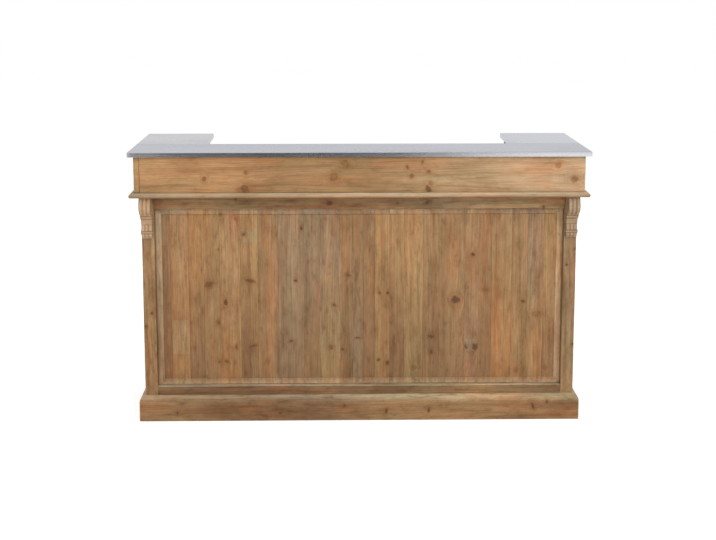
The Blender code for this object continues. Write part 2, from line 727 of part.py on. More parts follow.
def add_knob(name, turned, centre, slide):
    """One knob on a drawer front, with its axis along +Y, and the hole that its spigot needs."""
    obj = bpy.data.objects.new(name, turned)
    as_piece(obj, "knob_wood")
    obj.location = centre
    obj.rotation_euler = (-math.pi / 2, 0, 0)
    spin = obj.modifiers.new("turned", "SCREW")
    spin.steps = spin.render_steps = KNOB_STEPS
    spin.use_merge_vertices = True
    spin.merge_threshold = MERGE_DISTANCE
    depth = KNOB_SPIGOT_LENGTH + GAP
    reach = 2 * depth
    bpy.ops.mesh.primitive_cylinder_add(
        vertices=KNOB_STEPS,
        radius=(KNOB_SPIGOT_RADIUS + GAP) / math.cos(math.pi / KNOB_STEPS),
        depth=reach,
        location=Vector(centre) + Vector((0, reach / 2 - depth, 0)),
        rotation=(math.pi / 2, 0, 0),
    )
    hole = as_helper(bpy.context.object)
    hole.name = f"{name}_hole"
    for follower in (obj, hole):
        carry(follower, slide)
    return hole


def carry(obj, slide):
    """Parents a piece to its slide without moving it."""
    bpy.context.view_layer.update()
    world = obj.matrix_world.copy()
    obj.parent = slide
    obj.matrix_world = world


def build_drawers():
    """Two drawers: front, two sides, back and bottom in their grooves, and two knobs each."""
    turned = knob_mesh()
    for side, word in ((-1, "left"), (1, "right")):
        near, far = sorted((side * PARTITION_THICKNESS / 2, side * WING_PANEL_X))
        middle_x = (near + far) / 2
        front_y = CABINET_REAR_Y - DRAWER_FRONT_THICKNESS
        back_y = CABINET_REAR_Y - DRAWER_LENGTH
        box_left, box_right = near + DRAWER_SIDE_CLEARANCE, far - DRAWER_SIDE_CLEARANCE
        inner_left = box_left + DRAWER_SIDE_THICKNESS
        inner_right = box_right - DRAWER_SIDE_THICKNESS
        low = DECK_TOP + GAP
        high = low + DRAWER_SIDE_HEIGHT
        front_low, front_high = DECK_TOP + DRAWER_REVEAL, WORKTOP_BOTTOM - DRAWER_REVEAL

        slide = bpy.data.objects.new(f"{word}_drawer_slide", None)
        slide.location = (middle_x, CABINET_REAR_Y, (front_low + front_high) / 2)
        PIECES.objects.link(slide)

        front = board(
            f"{word}_drawer_front",
            (near + DRAWER_REVEAL, front_y, front_low),
            (far - DRAWER_REVEAL, CABINET_REAR_Y, front_high),
            "fascia_pine",
        )
        sides = [
            board(
                f"{word}_drawer_{hand}_side",
                (start, back_y, low),
                (start + DRAWER_SIDE_THICKNESS, front_y - GAP, high),
                "inside_pine",
            )
            for hand, start in (("left", box_left), ("right", inner_right))
        ]
        back = board(
            f"{word}_drawer_back",
            (inner_left + GAP, back_y, low),
            (inner_right - GAP, back_y + DRAWER_SIDE_THICKNESS, high),
            "inside_pine",
        )
        tray_low = low + DRAWER_BOTTOM_LIFT
        reach = DRAWER_GROOVE_DEPTH - GAP
        corners = (
            (inner_left - reach, back_y + DRAWER_SIDE_THICKNESS - reach, tray_low),
            (inner_right + reach, front_y + reach, tray_low + DRAWER_BOTTOM_THICKNESS),
        )
        tray = board(f"{word}_drawer_bottom", *corners, "core_board")
        groove = cutter_box(f"{word}_drawer_groove", *corners)
        for piece in (front, *sides, back):
            combine(piece, groove, "DIFFERENCE")
        for hand, offset in (("left", -KNOB_SPACING / 2), ("right", KNOB_SPACING / 2)):
            centre = (middle_x + offset, CABINET_REAR_Y, (front_low + front_high) / 2)
            hole = add_knob(f"{word}_drawer_{hand}_knob", turned, centre, slide)
            combine(front, hole, "DIFFERENCE")
        for piece in (front, *sides, back, tray, groove):
            carry(piece, slide)


def main():
    """Builds the counter from the top down to the drawers."""
    build_top()
    build_cornice()
    build_frieze()
    build_frames()
    build_plinth()
    build_corbels()
    build_cabinet()
    build_drawers()


PIECES, CUTTERS = clear_scene()
MATERIALS = {name: make_finish(name) for name in FINISHES}
main()
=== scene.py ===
"""A bar counter in reclaimed pine with a folded zinc top, seen from the guests' side.

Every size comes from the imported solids. Each board, moulding, corbel, sheet and knob is a
surface of its own that stays inside its solid and rides on the same body.
"""

import logging
import math
from dataclasses import astuple, dataclass
from enum import Enum
from typing import Any, Iterable, Optional, Union

import bpy
import numpy as np
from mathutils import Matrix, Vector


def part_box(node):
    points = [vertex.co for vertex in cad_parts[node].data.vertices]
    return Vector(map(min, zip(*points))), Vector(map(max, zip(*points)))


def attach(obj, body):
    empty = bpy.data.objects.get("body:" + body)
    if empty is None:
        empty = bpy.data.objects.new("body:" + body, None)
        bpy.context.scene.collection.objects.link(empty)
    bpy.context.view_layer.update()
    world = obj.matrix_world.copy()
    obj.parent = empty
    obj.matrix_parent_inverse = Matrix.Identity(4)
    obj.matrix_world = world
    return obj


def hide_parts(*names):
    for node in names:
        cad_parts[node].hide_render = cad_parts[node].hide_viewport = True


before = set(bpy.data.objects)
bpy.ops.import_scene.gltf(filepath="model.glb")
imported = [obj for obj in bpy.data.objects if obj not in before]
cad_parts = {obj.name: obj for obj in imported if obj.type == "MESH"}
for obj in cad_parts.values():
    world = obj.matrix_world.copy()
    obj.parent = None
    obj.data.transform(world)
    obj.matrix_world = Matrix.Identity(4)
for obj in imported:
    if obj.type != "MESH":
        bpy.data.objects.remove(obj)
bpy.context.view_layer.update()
LOG = logging.getLogger("bar_counter")

Array = np.ndarray
Triple = tuple[float, float, float]
Rows = tuple[tuple[float, ...], ...]
Tones = tuple[tuple[float, "Tone"], ...]

IMAGE_WIDTH = 716
SENSOR_WIDTH = 36.0
GAP = 0.0003  # between two boards
SKIN = 0.0001  # between a piece and the surface of its solid
MARK = 0.0008  # half the width of a fine line
SHARP_ANGLE = math.radians(38)
PLANE_WAVES = (0.30, 0.09, 0.09)  # how long the marks of a hand plane are on each axis
DENT_WAVES = (0.045, 0.03, 0.03)  # the same for the dents in an arris
DENT_LEVEL = 0.35
WAVES = 6
WAVE_SPREAD = 7
END_STEP = 0.004  # the least length of the first stretch of a board
END_EASES = 1.6  # the same, in widths of the eased end
SIDE_EASES = 1.4  # from the corner of a section to the first point of its side
NO_KNOT = (1.0, 1.0, 0.004, 1.0)  # a knot far away
ARC = np.radians([0, 30, 60])
# Painted light and shade: factors that pale faces looking up, as light from above would, and
# darken faces looking down, as shade would.
PAINTED_TOP_LIGHT = np.array([1.30, 1.58, 2.00])
PAINTED_UNDER_SHADE = np.array([0.62, 0.56, 0.50])
WHITE = (1, 1, 1, 1)


def linear(*screen: float) -> Array:
    """Turns a colour as a screen shows it, 0 to 255, into linear light."""
    part = np.array(screen) / 255.0
    return np.where(part <= 0.04045, part / 12.92, ((part + 0.055) / 1.055) ** 2.4)


def seeded(name: str, *more: int) -> np.random.Generator:
    """Gives a piece's own random numbers, the same in each run."""
    return np.random.default_rng([*map(ord, name), *more])


def span(node: str) -> tuple[Array, Array]:
    """Gives the lowest and the highest corner of a solid, in metres."""
    low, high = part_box(node)
    return np.array(low), np.array(high)


class Way(Enum):
    """The ways in which a board can run or look."""

    LEFT = (-1, 0, 0)
    RIGHT = (1, 0, 0)
    FRONT = (0, -1, 0)
    REAR = (0, 1, 0)
    UP = (0, 0, 1)

    @property
    def vector(self) -> Array:
        """The way as a unit vector."""
        return np.array(self.value, float)


SIDES = {"left": Way.LEFT, "right": Way.RIGHT}


class Tone(Enum):
    """The tones of old pine, as they look in plain light."""

    AMBER = (171, 130, 90)
    HONEY = (163, 126, 84)
    ORANGE = (163, 120, 77)
    TAN = (152, 118, 81)
    ROSE = (152, 116, 85)
    OLIVE = (152, 123, 84)
    GREY = (147, 119, 89)
    BROWN = (143, 109, 74)
    RUST = (143, 103, 67)
    UMBER = (122, 91, 63)
    SAND = (170, 138, 103)
    PALE = (180, 150, 118)
    # Pale border tone: partly the bevel's own paler colour, partly painted light.
    LIMED_AND_LIT = (192, 162, 130)
    ASH = (165, 140, 113)

    @property
    def light(self) -> Array:
        """The tone in linear light."""
        return linear(*self.value)


class Slot(Enum):
    """The record's material slots."""

    ZINC = "zinc"
    CORE = "core_board"
    FASCIA = "fascia_pine"
    FRAME = "frame_pine"
    PANEL = "panel_pine"
    MOULDING = "moulding_pine"
    PLINTH = "plinth_pine"
    CARVED = "carved_pine"
    INSIDE = "inside_pine"
    KNOB = "knob_wood"


@dataclass(frozen=True)
class Knot:
    """A knot that goes through a board.

    Fields are its place along and across, its radius, its spread across the fibres, and how
    dark its heart is, where 0 leaves only a ring.
    """

    along: float
    across: float
    radius: float
    spread: float = 1.0
    dark: float = 1.0


@dataclass(frozen=True)
class PhotoRuler:
    """Turns a point read off the photograph into metres on a plane that faces the guests.

    The photograph has no tilt, so a plane at depth y is drawn at one scale: a pixel is
    (distance + y) / scale metres.
    """

    scale: float = 1176.0
    distance: float = 4.926
    middle_px: float = 344.7
    middle_x: float = -0.0604
    horizon_px: float = -29.7
    eye_height: float = 1.8096

    def at(self, px: float, py: float, depth: float) -> tuple[float, float]:
        """Gives the x and z, in metres, of a photographed point on the plane at a depth."""
        metres = (self.distance + depth) / self.scale
        return (
            (px - self.middle_px) * metres + self.middle_x,
            self.eye_height - (py - self.horizon_px) * metres,
        )


RULER = PhotoRuler()


# Finishes


class Signal:
    """A number or colour that changes over a surface. Operators on it add Math nodes."""

    def __init__(self, graph: "Graph", socket: Optional[bpy.types.NodeSocket]) -> None:
        """Wraps an output socket of a graph."""
        self.graph, self.socket = graph, socket

    def __add__(self, other: Any) -> "Signal":
        """Adds."""
        return self.graph.maths("ADD", self, other)

    def __sub__(self, other: Any) -> "Signal":
        """Subtracts."""
        return self.graph.maths("SUBTRACT", self, other)

    def __rsub__(self, other: Any) -> "Signal":
        """Subtracts this from a number."""
        return self.graph.maths("SUBTRACT", other, self)

    def __mul__(self, other: Any) -> "Signal":
        """Multiplies."""
        return self.graph.maths("MULTIPLY", self, other)

    def __truediv__(self, other: Any) -> "Signal":
        """Divides."""
        return self.graph.maths("DIVIDE", self, other)

    def smooth(self, low: float, high: float) -> "Signal":
        """Goes softly from 0 at low to 1 at high."""
        ends = {"Value": self, "From Min": low, "From Max": high}
        return self.graph.node("MapRange", {"interpolation_type": "SMOOTHSTEP"}, ends)


class Graph:
    """The nodes of a new material or world."""

    def __init__(self, owner: Any) -> None:
        """Clears the owner's nodes.

        Args:
            owner: The new material or world.
        """
        self.owner = owner
        owner.use_nodes = True
        owner.node_tree.nodes.clear()

    def node(
        self,
        kind: str,
        settings: Optional[dict[str, Any]] = None,
        inputs: Optional[dict[Any, Any]] = None,
        output: Any = 0,
    ) -> Signal:
        """Adds a node.

        Args:
            kind: The node's type, less the word that all of them start with.
            settings: What is set on the node before its sockets.
            inputs: A value or a signal for each socket, by name or number.
            output: The name or number of the output to take.

        Returns:
            The output as a signal.
        """
        made = self.owner.node_tree.nodes.new(f"ShaderNode{kind}")
        for key, setting in (settings or {}).items():
            setattr(made, key, setting)
        for key, value in (inputs or {}).items():
            if isinstance(value, Signal):
                self.owner.node_tree.links.new(value.socket, made.inputs[key])
            else:
                made.inputs[key].default_value = value
        return Signal(self, made.outputs[output] if len(made.outputs) else None)

    def maths(self, operation: str, *values: Any) -> Signal:
        """Adds a Math node on up to three numbers."""
        return self.node("Math", {"operation": operation}, dict(enumerate(values)))

    def attribute(self, name: str, output: str = "Vector") -> Signal:
        """Reads what the piece carries under that name."""
        return self.node("Attribute", {"attribute_name": name}, output=output)

    def parts(self, vector: Signal) -> list[Signal]:
        """Splits a vector into its three numbers."""
        made = self.node("SeparateXYZ", inputs={0: vector}).socket.node
        return [Signal(self, socket) for socket in made.outputs]

    def times(self, vector: Signal, factors: Triple) -> Signal:
        """Multiplies a vector or colour by three numbers."""
        return self.node("VectorMath", {"operation": "MULTIPLY"}, {0: vector, 1: factors})

    def noise(
        self, vector: Signal, stretch: Triple, detail: float = 2.0, rough: float = 0.5
    ) -> Signal:
        """Gives soft noise, about 0.5, with that many swells to a metre on each axis."""
        return self.node("TexNoise", inputs={
            "Vector": self.times(vector, stretch), "Scale": 1.0, "Detail": detail,
            "Roughness": rough,
        })

    def mix(self, factor: Any, first: Any, second: Any) -> Signal:
        """Goes from the first colour to the second as factor goes from 0 to 1."""
        settings = {"data_type": "RGBA", "clamp_factor": True}
        return self.node("Mix", settings, {0: factor, 6: first, 7: second}, 2)

    def wash(self, colour: Signal, share: Any, factors: Triple) -> Signal:
        """Multiplies a share of a colour by three factors."""
        return self.mix(share, colour, self.times(colour, factors))

    def washes(
        self, colour: Signal, noises: dict[str, Signal], layers: Iterable["Wash"], finish: Any
    ) -> Signal:
        """Lays washes over a colour.

        Args:
            colour: The colour below them.
            noises: The noise of each name.
            layers: The washes, the lowest first.
            finish: The finish whose fields give the depths.

        Returns:
            The colour above them.
        """
        for layer in layers:
            depth = getattr(finish, layer.depth) if isinstance(layer.depth, str) else layer.depth
            share = noises[layer.noise].smooth(layer.low, layer.high) * depth
            colour = self.wash(colour, share, layer.factors)
        return colour

    def bump(self, height: Signal, distance: float, strength: float) -> Signal:
        """Turns a height, in shares of distance, into a normal."""
        sockets = {"Strength": strength, "Distance": distance, "Height": height}
        return self.node("Bump", inputs=sockets)

    def seen(self) -> Signal:
        """Gives 1 to the eye, to mirrors and through glass, and 0 to other light."""
        rays = [
            self.node("LightPath", output=f"Is {kind} Ray")
            for kind in ("Camera", "Glossy", "Transmission")
        ]
        return self.maths("MAXIMUM", self.maths("MAXIMUM", *rays[:2]), rays[2])

    def principled(self, **sockets: Any) -> Signal:
        """Adds a Principled shader. Sockets have an underscore for each space."""
        named = {key.replace("_", " "): value for key, value in sockets.items()}
        return self.node("BsdfPrincipled", inputs=named)

    def end(self, shader: Signal, kind: str = "Material") -> Any:
        """Ends in a shader, and gives the material or world."""
        self.node(f"Output{kind}", inputs={"Surface": shader})
        return self.owner


@dataclass(frozen=True)
class Wash:
    """A layer of colour: as a noise goes from low to high, the factors come in.

    The depth is a number, or the name of the finish's field that holds it.
    """

    noise: str
    low: float
    high: float
    depth: Union[float, str]
    factors: Triple


FIBRE_NOISES = {
    "fibre": ((26, 1300, 1300), 1.0),
    "fleck": ((11, 290, 290), 2.0),
    "streak": ((4.0, 120, 120), 4.0),
    "band": ((1.6, 34, 34), 3.0),
    "smudge": ((18, 48, 48), 5.0, 0.74),
}
STAIN_NOISES = {
    "patch": ((5.0, 11, 11), 4.0, 0.6),
    "hue": ((3.0, 17, 17), 3.0, 0.6),
    "warp": ((2.2, 9, 9), 2.0),
}
PINE_WASHES = (
    Wash("band", 0.46, 0.66, "streak_depth", (0.80, 0.73, 0.64)),
    Wash("band", 0.52, 0.32, "streak_depth", (1.15, 1.15, 1.12)),
    Wash("streak", 0.50, 0.68, "streak_depth", (0.74, 0.66, 0.56)),
    Wash("streak", 0.48, 0.30, "streak_depth", (1.13, 1.13, 1.09)),
    Wash("fleck", 0.56, 0.72, 0.4, (0.66, 0.56, 0.46)),
    Wash("fibre", 0.52, 0.78, 0.4, (0.78, 0.72, 0.64)),
    Wash("hue", 0.50, 0.66, "stain", (1.10, 0.92, 0.80)),
    Wash("hue", 0.50, 0.34, "stain", (0.92, 1.03, 1.00)),
    Wash("patch", 0.50, 0.66, "stain", (0.81, 0.77, 0.71)),
    Wash("patch", 0.50, 0.34, "stain", (1.14, 1.13, 1.10)),
    Wash("smudge", 0.50, 0.70, "smudge", (0.68, 0.62, 0.55)),
    Wash("smudge", 0.50, 0.32, "smudge", (1.20, 1.21, 1.18)),
)
ZINC_NOISES = {
    "cloud": ((2.2, 4, 4), 3.0),
    "bloom": ((30, 34, 34), 3.0),
    "rolled": ((1.5, 160, 160), 1.0),
    "spot": ((13, 17, 17), 2.0),
    "wipe": ((5, 16, 12), 1.0),
}
ZINC_WASHES = (
    Wash("cloud", 0.40, 0.62, 0.8, (0.92, 0.93, 0.95)),
    Wash("bloom", 0.50, 0.72, 0.15, (0.93, 0.94, 0.96)),
    Wash("rolled", 0.45, 0.75, 0.12, (0.93, 0.94, 0.95)),
    Wash("spot", 0.60, 0.76, 0.45, (0.88, 0.87, 0.84)),
)


@dataclass(frozen=True)
class PineFinish:
    """Old pine, sanded and waxed: rings, fibres, knots, stains and worn arrises.

    The points of each board carry their place in the tree it was sawn from, in metres from
    the heart: along the trunk and two ways across it. Rings are shells round the heart,
    so a face shows long stripes or arches, and an end shows arcs. The fibres sway a little
    and part round each knot.
    """

    slot: Slot
    ring: float = 0.0030
    ring_depth: float = 0.40
    streak_depth: float = 0.5
    stain: float = 0.45
    smudge: float = 0.6
    gloss: float = 0.55
    knot: float = 0.94
    lump: float = 1.5
    sway: float = 0.020
    wander: float = 0.010
    rub: float = 0.75
    sheen: float = 0.32
    relief: tuple[float, float] = (0.0006, 0.5)
    late_factors: Triple = (0.74, 0.65, 0.54)
    rub_factors: Triple = (1.30, 1.42, 1.56)
    knot_dark: tuple[float, ...] = (0.060, 0.023, 0.009, 1)
    knot_light: tuple[float, ...] = (0.140, 0.058, 0.020, 1)

    def build(self) -> bpy.types.Material:
        """Makes the material, which reads grain, knot, dark, tone and wear."""
        graph = Graph(bpy.data.materials.new(self.slot.value))
        grain, tone = graph.attribute("grain"), graph.attribute("tone", "Color")
        wear, dark = graph.attribute("wear", "Fac"), graph.attribute("dark", "Fac")
        knot_along, knot_across, radius = graph.parts(graph.attribute("knot"))

        reach = graph.maths("SQRT", knot_along * knot_along + knot_across * knot_across)
        lump = graph.noise(grain, (120, 150, 150), 3.0)
        reach = reach / radius + (lump - 0.5) * self.lump
        core = reach.smooth(1.10, 0.66) * dark
        rim = reach.smooth(0.60, 0.92) * reach.smooth(1.28, 0.98) * (1 - dark)
        halo = reach.smooth(3.2, 0.6)
        tail = graph.maths("ABSOLUTE", knot_across / radius).smooth(1.5, 0.0)
        tail = tail * graph.maths("ABSOLUTE", knot_along / radius).smooth(7.0, 0.5)

        sway = graph.noise(grain, (3.2, 6, 6), 3.0)
        aside = (sway - 0.5) * self.sway - knot_across * halo * 0.6
        step = graph.node("CombineXYZ", inputs={1: aside})
        bent = graph.node("VectorMath", {"operation": "ADD"}, {0: grain, 1: step})
        _, across, depth = graph.parts(bent)
        noise = {name: graph.noise(bent, *kind) for name, kind in FIBRE_NOISES.items()}
        noise |= {name: graph.noise(grain, *kind) for name, kind in STAIN_NOISES.items()}

        heart = graph.maths("SQRT", across * across + depth * depth)
        shell = heart + (noise["warp"] - 0.5) * self.wander + halo * radius * 0.9
        turn = graph.maths("FRACT", shell / self.ring)
        late = turn.smooth(0.3, 0.88) * turn.smooth(1.0, 0.93)

        colour = graph.wash(tone, late * self.ring_depth, self.late_factors)
        colour = graph.washes(colour, noise, PINE_WASHES, self)
        for share, factors in (
            (tail * 0.32, (0.80, 0.68, 0.56)),
            (halo * 0.50, (0.84, 0.64, 0.44)),
            (rim * 0.60, (0.60, 0.44, 0.34)),
        ):
            colour = graph.wash(colour, share, factors)
        ember = graph.maths("SINE", reach * 13.0) * 0.25 + 0.5
        knot_colour = graph.mix(ember, self.knot_dark, self.knot_light)
        colour = graph.mix(core * self.knot, colour, knot_colour)
        rubbed = wear * noise["patch"].smooth(0.30, 0.60) * self.rub
        colour = graph.wash(colour, rubbed, self.rub_factors)

        rough = (noise["fibre"] - 0.5) * 0.20 + (noise["patch"] - 0.5) * 0.24
        rough = rough - late * 0.06 - core * 0.12 + self.gloss
        height = late * 0.45 + noise["fibre"] * 0.35 + noise["streak"] * 0.6
        height = height - noise["fleck"] * 0.3 - core * 0.5
        return graph.end(graph.principled(
            Base_Color=colour, Roughness=rough, Normal=graph.bump(height, *self.relief),
            Specular_IOR_Level=self.sheen,
        ))


@dataclass(frozen=True)
class ZincFinish:
    """Rolled zinc that has dulled: a faint bloom, rolling lines, wipe marks and stains."""

    slot: Slot = Slot.ZINC
    gloss: float = 0.20
    relief: tuple[float, float] = (0.0004, 0.10)
    edge_tint: tuple[float, ...] = (0.80, 0.81, 0.85, 1.0)

    def build(self) -> bpy.types.Material:
        """Makes the material, which reads Object coordinates and tone."""
        graph = Graph(bpy.data.materials.new(self.slot.value))
        place = graph.node("TexCoord", output="Object")
        noise = {name: graph.noise(place, *kind) for name, kind in ZINC_NOISES.items()}
        colour = graph.washes(graph.attribute("tone", "Color"), noise, ZINC_WASHES, self)
        rough = noise["cloud"] * 0.06 + noise["wipe"] * 0.05 + noise["bloom"] * 0.03
        return graph.end(graph.principled(
            Base_Color=colour, Metallic=1.0, Roughness=rough + self.gloss,
            Normal=graph.bump(noise["wipe"] + noise["cloud"], *self.relief),
            Specular_Tint=self.edge_tint,
        ))


FINISHES = (
    ZincFinish(),
    PineFinish(Slot.CORE, stain=0.2),
    PineFinish(Slot.FASCIA, ring=0.0042, streak_depth=0.55, stain=0.80, smudge=0.55, knot=0.90),
    PineFinish(Slot.FRAME, ring=0.0034, streak_depth=0.85, stain=1.0, smudge=1.0),
    PineFinish(
        Slot.PANEL, ring=0.0034, ring_depth=0.38, streak_depth=0.58, stain=0.70, smudge=0.90
    ),
    PineFinish(Slot.MOULDING, ring=0.0036, ring_depth=0.34, streak_depth=0.40, stain=0.5),
    PineFinish(Slot.PLINTH, ring=0.0045, streak_depth=0.60, stain=0.85, smudge=1.0),
    PineFinish(
        Slot.CARVED, ring=0.0032, ring_depth=0.20, streak_depth=0.25, stain=0.3, smudge=0.35
    ),
    PineFinish(Slot.INSIDE, ring=0.0040, gloss=0.62),
    PineFinish(Slot.KNOB, ring=0.0024, stain=0.2, gloss=0.42),
)


# Surfaces


@dataclass(frozen=True)
class Outline:
    """A closed section, anticlockwise as its run comes towards the eye.

    Fields are the points, the outward normals, and 1 for each point on a worn arris.
    """

    points: Array
    normals: Array
    worn: Array


def spaced(start: float, end: float, step: float, marks: Iterable[float] = ()) -> Array:
    """Gives even places from start to end, no further apart than step, and the marks.

    Args:
        start: The first place.
        end: The last place, which is higher.
        step: The greatest distance between two places.
        marks: Further places, of which those between start and end are kept.

    Returns:
        The places, rising.
    """
    count = max(int(math.ceil((end - start) / step)), 1)
    kept = [mark for mark in marks if start + 2 * SKIN < mark < end - 2 * SKIN]
    return np.unique(np.round(np.concatenate([np.linspace(start, end, count + 1), kept]), 6))


def rounded_rectangle(
    low: Array, high: Array, radius: float, step: float, marks: Iterable[float] = ()
) -> Outline:
    """Draws a rectangle whose four arrises are quarter circles.

    Each corner is an arc of the radius about a point inside it, and each side between two
    arcs has even points, with one close to either arc so that the wear stays narrow.

    Args:
        low: The lowest corner in the section's two directions.
        high: The highest corner.
        radius: The radius of the arrises.
        step: The greatest distance between two points of a side.
        marks: Places in the first direction where a point is needed.

    Returns:
        The section.
    """
    left, foot, right, head = *(low + radius), *(high - radius)
    centres = np.array([[right, foot], [right, head], [left, head], [left, foot]])
    parts = []
    for corner in range(4):
        angles = np.radians(np.array([-90, -60, -30, 0]) + 90 * corner)
        ways = np.stack([np.cos(angles), np.sin(angles)], axis=1)
        parts.append((centres[corner] + radius * ways, ways, np.ones(len(ways))))
        here, there = centres[[corner, (corner + 1) % 4]] + radius * ways[-1]
        length = float(np.linalg.norm(there - here))
        inner = np.array([length / 2])
        if length >= 4 * radius:
            reached = np.abs(np.array(list(marks) if corner % 2 else []) - here[0])
            edge = SIDE_EASES * radius
            inner = spaced(edge, length - edge, step, reached)
        side = here + (there - here) * (inner / length)[:, None]
        parts.append((side, np.repeat(ways[-1:], len(inner), axis=0), np.zeros(len(inner))))
    return Outline(*map(np.concatenate, zip(*parts)))


def polygon_outline(corners: Array, step: float, worn: Iterable[int]) -> Outline:
    """Draws a closed section with straight sides through given corners.

    Each normal is the mean of the normals of the two sides that meet at the point.

    Args:
        corners: The corners, anticlockwise.
        step: The greatest distance between two points of a side.
        worn: The numbers of the corners that are worn.

    Returns:
        The section.
    """
    sides = np.roll(corners, -1, axis=0) - corners
    counts = np.maximum(np.ceil(np.linalg.norm(sides, axis=1) / step), 1).astype(int)
    owner = np.repeat(np.arange(len(corners)), counts)
    share = (np.arange(len(owner)) - np.repeat(np.cumsum(counts) - counts, counts)) / counts[owner]
    points = corners[owner] + sides[owner] * share[:, None]
    side = np.roll(points, -1, axis=0) - points
    out = np.stack([side[:, 1], -side[:, 0]], axis=1)
    out /= np.linalg.norm(out, axis=1)[:, None]
    normals = out + np.roll(out, 1, axis=0)
    normals /= np.linalg.norm(normals, axis=1)[:, None]
    return Outline(points, normals, (np.isin(owner, list(worn)) & (share == 0)) * 1.0)


def ripple(points: Array, seed: np.random.Generator, lengths: Triple) -> Array:
    """Gives a smooth field from 0 to 1 in space: the mean of waves in random directions.

    Each wave is a sine of the distance along its own direction, over its wavelength.

    Args:
        points: Places, as an array whose last axis is x, y, z.
        seed: The board's own random numbers.
        lengths: The wavelength of each wave in metres along each axis.

    Returns:
        The field at the places.
    """
    total = np.zeros(points.shape[:-1])
    for _ in range(WAVES):
        way = seed.normal(size=3)
        way /= np.linalg.norm(way)
        phase = points @ (way / np.array(lengths)) * 2 * np.pi
        total += np.sin(phase + seed.uniform(0, 2 * np.pi))
    return np.clip(0.5 + total / WAVE_SPREAD, 0, 1)


def grid_faces(rows: int, columns: int, closed: bool = True) -> Array:
    """Numbers the four corners of each face of a grid.

    Args:
        rows: How many rows of points there are.
        columns: How many points a row has.
        closed: Whether each row ends where it starts.

    Returns:
        One row of four numbers for each face.
    """
    row = np.arange(rows - 1)[:, None] * columns
    column = np.arange(columns if closed else columns - 1)[None, :]
    after = (column + 1) % columns
    corners = [row + column, row + after, row + columns + after, row + columns + column]
    return np.stack(corners, axis=-1).reshape(-1, 4)


@dataclass(frozen=True)
class Profile:
    """A moulding's section and finish.

    The section is a rectangle whose upper outer edge is a quarter ellipse, the crown, and
    whose lower outer edge is a smaller one. Both are given as a height and a depth. The
    first points of the crown, from its top, are rubbed pale.
    """

    slot: Slot
    crown: tuple[float, float]
    under: tuple[float, float]
    rubbed: int
    # How strongly faces that look up get painted light, and faces that look down painted shade.
    dust: float
    knot_every: float
    arc_points: int = 9

    def section(self, low: Array, high: Array, upright: bool) -> Outline:
        """Draws the section.

        Args:
            low: The back and the foot of the section, as distances across and out.
            high: The top and the outermost line of the section.
            upright: Whether the way across points up, and not down.

        Returns:
            The section, whose first direction is across and whose second is outwards.
        """
        angles = np.linspace(0, np.pi / 2, self.arc_points)
        turn = np.stack([np.sin(angles), np.cos(angles)], axis=1)
        upper = high - self.crown + turn[::-1] * self.crown
        lower = [low[0] + self.under[0], high[1] - self.under[1]] + turn * self.under * [-1, 1]
        corners = np.concatenate([[low, [high[0], low[1]]], upper, lower])
        made = polygon_outline(corners, 0.012, range(2, 2 + self.rubbed))
        if upright:
            return made
        points = made.points * [-1, 1] + [low[0] + high[0], 0]
        return Outline(points[::-1], (made.normals * [-1, 1])[::-1], made.worn[::-1])


CORNICE = Profile(Slot.MOULDING, (0.0120, 0.0150), (0.0075, 0.0085), 5, 0.9, 0.0)
PLINTH = Profile(Slot.PLINTH, (0.0280, 0.0205), (0.0015, 0.0015), 18, 1.9, 0.28)

LAYERS = {
    "grain": ("FLOAT_VECTOR", "vector", "POINT"),
    "tone": ("FLOAT_COLOR", "color", "POINT"),
    "wear": ("FLOAT", "value", "POINT"),
    "knot": ("FLOAT_VECTOR", "vector", "CORNER"),
    "dark": ("FLOAT", "value", "CORNER"),
}


def plain(tone: Tone) -> Tones:
    """Gives one tone for a whole board."""
    return ((0.0, tone),)


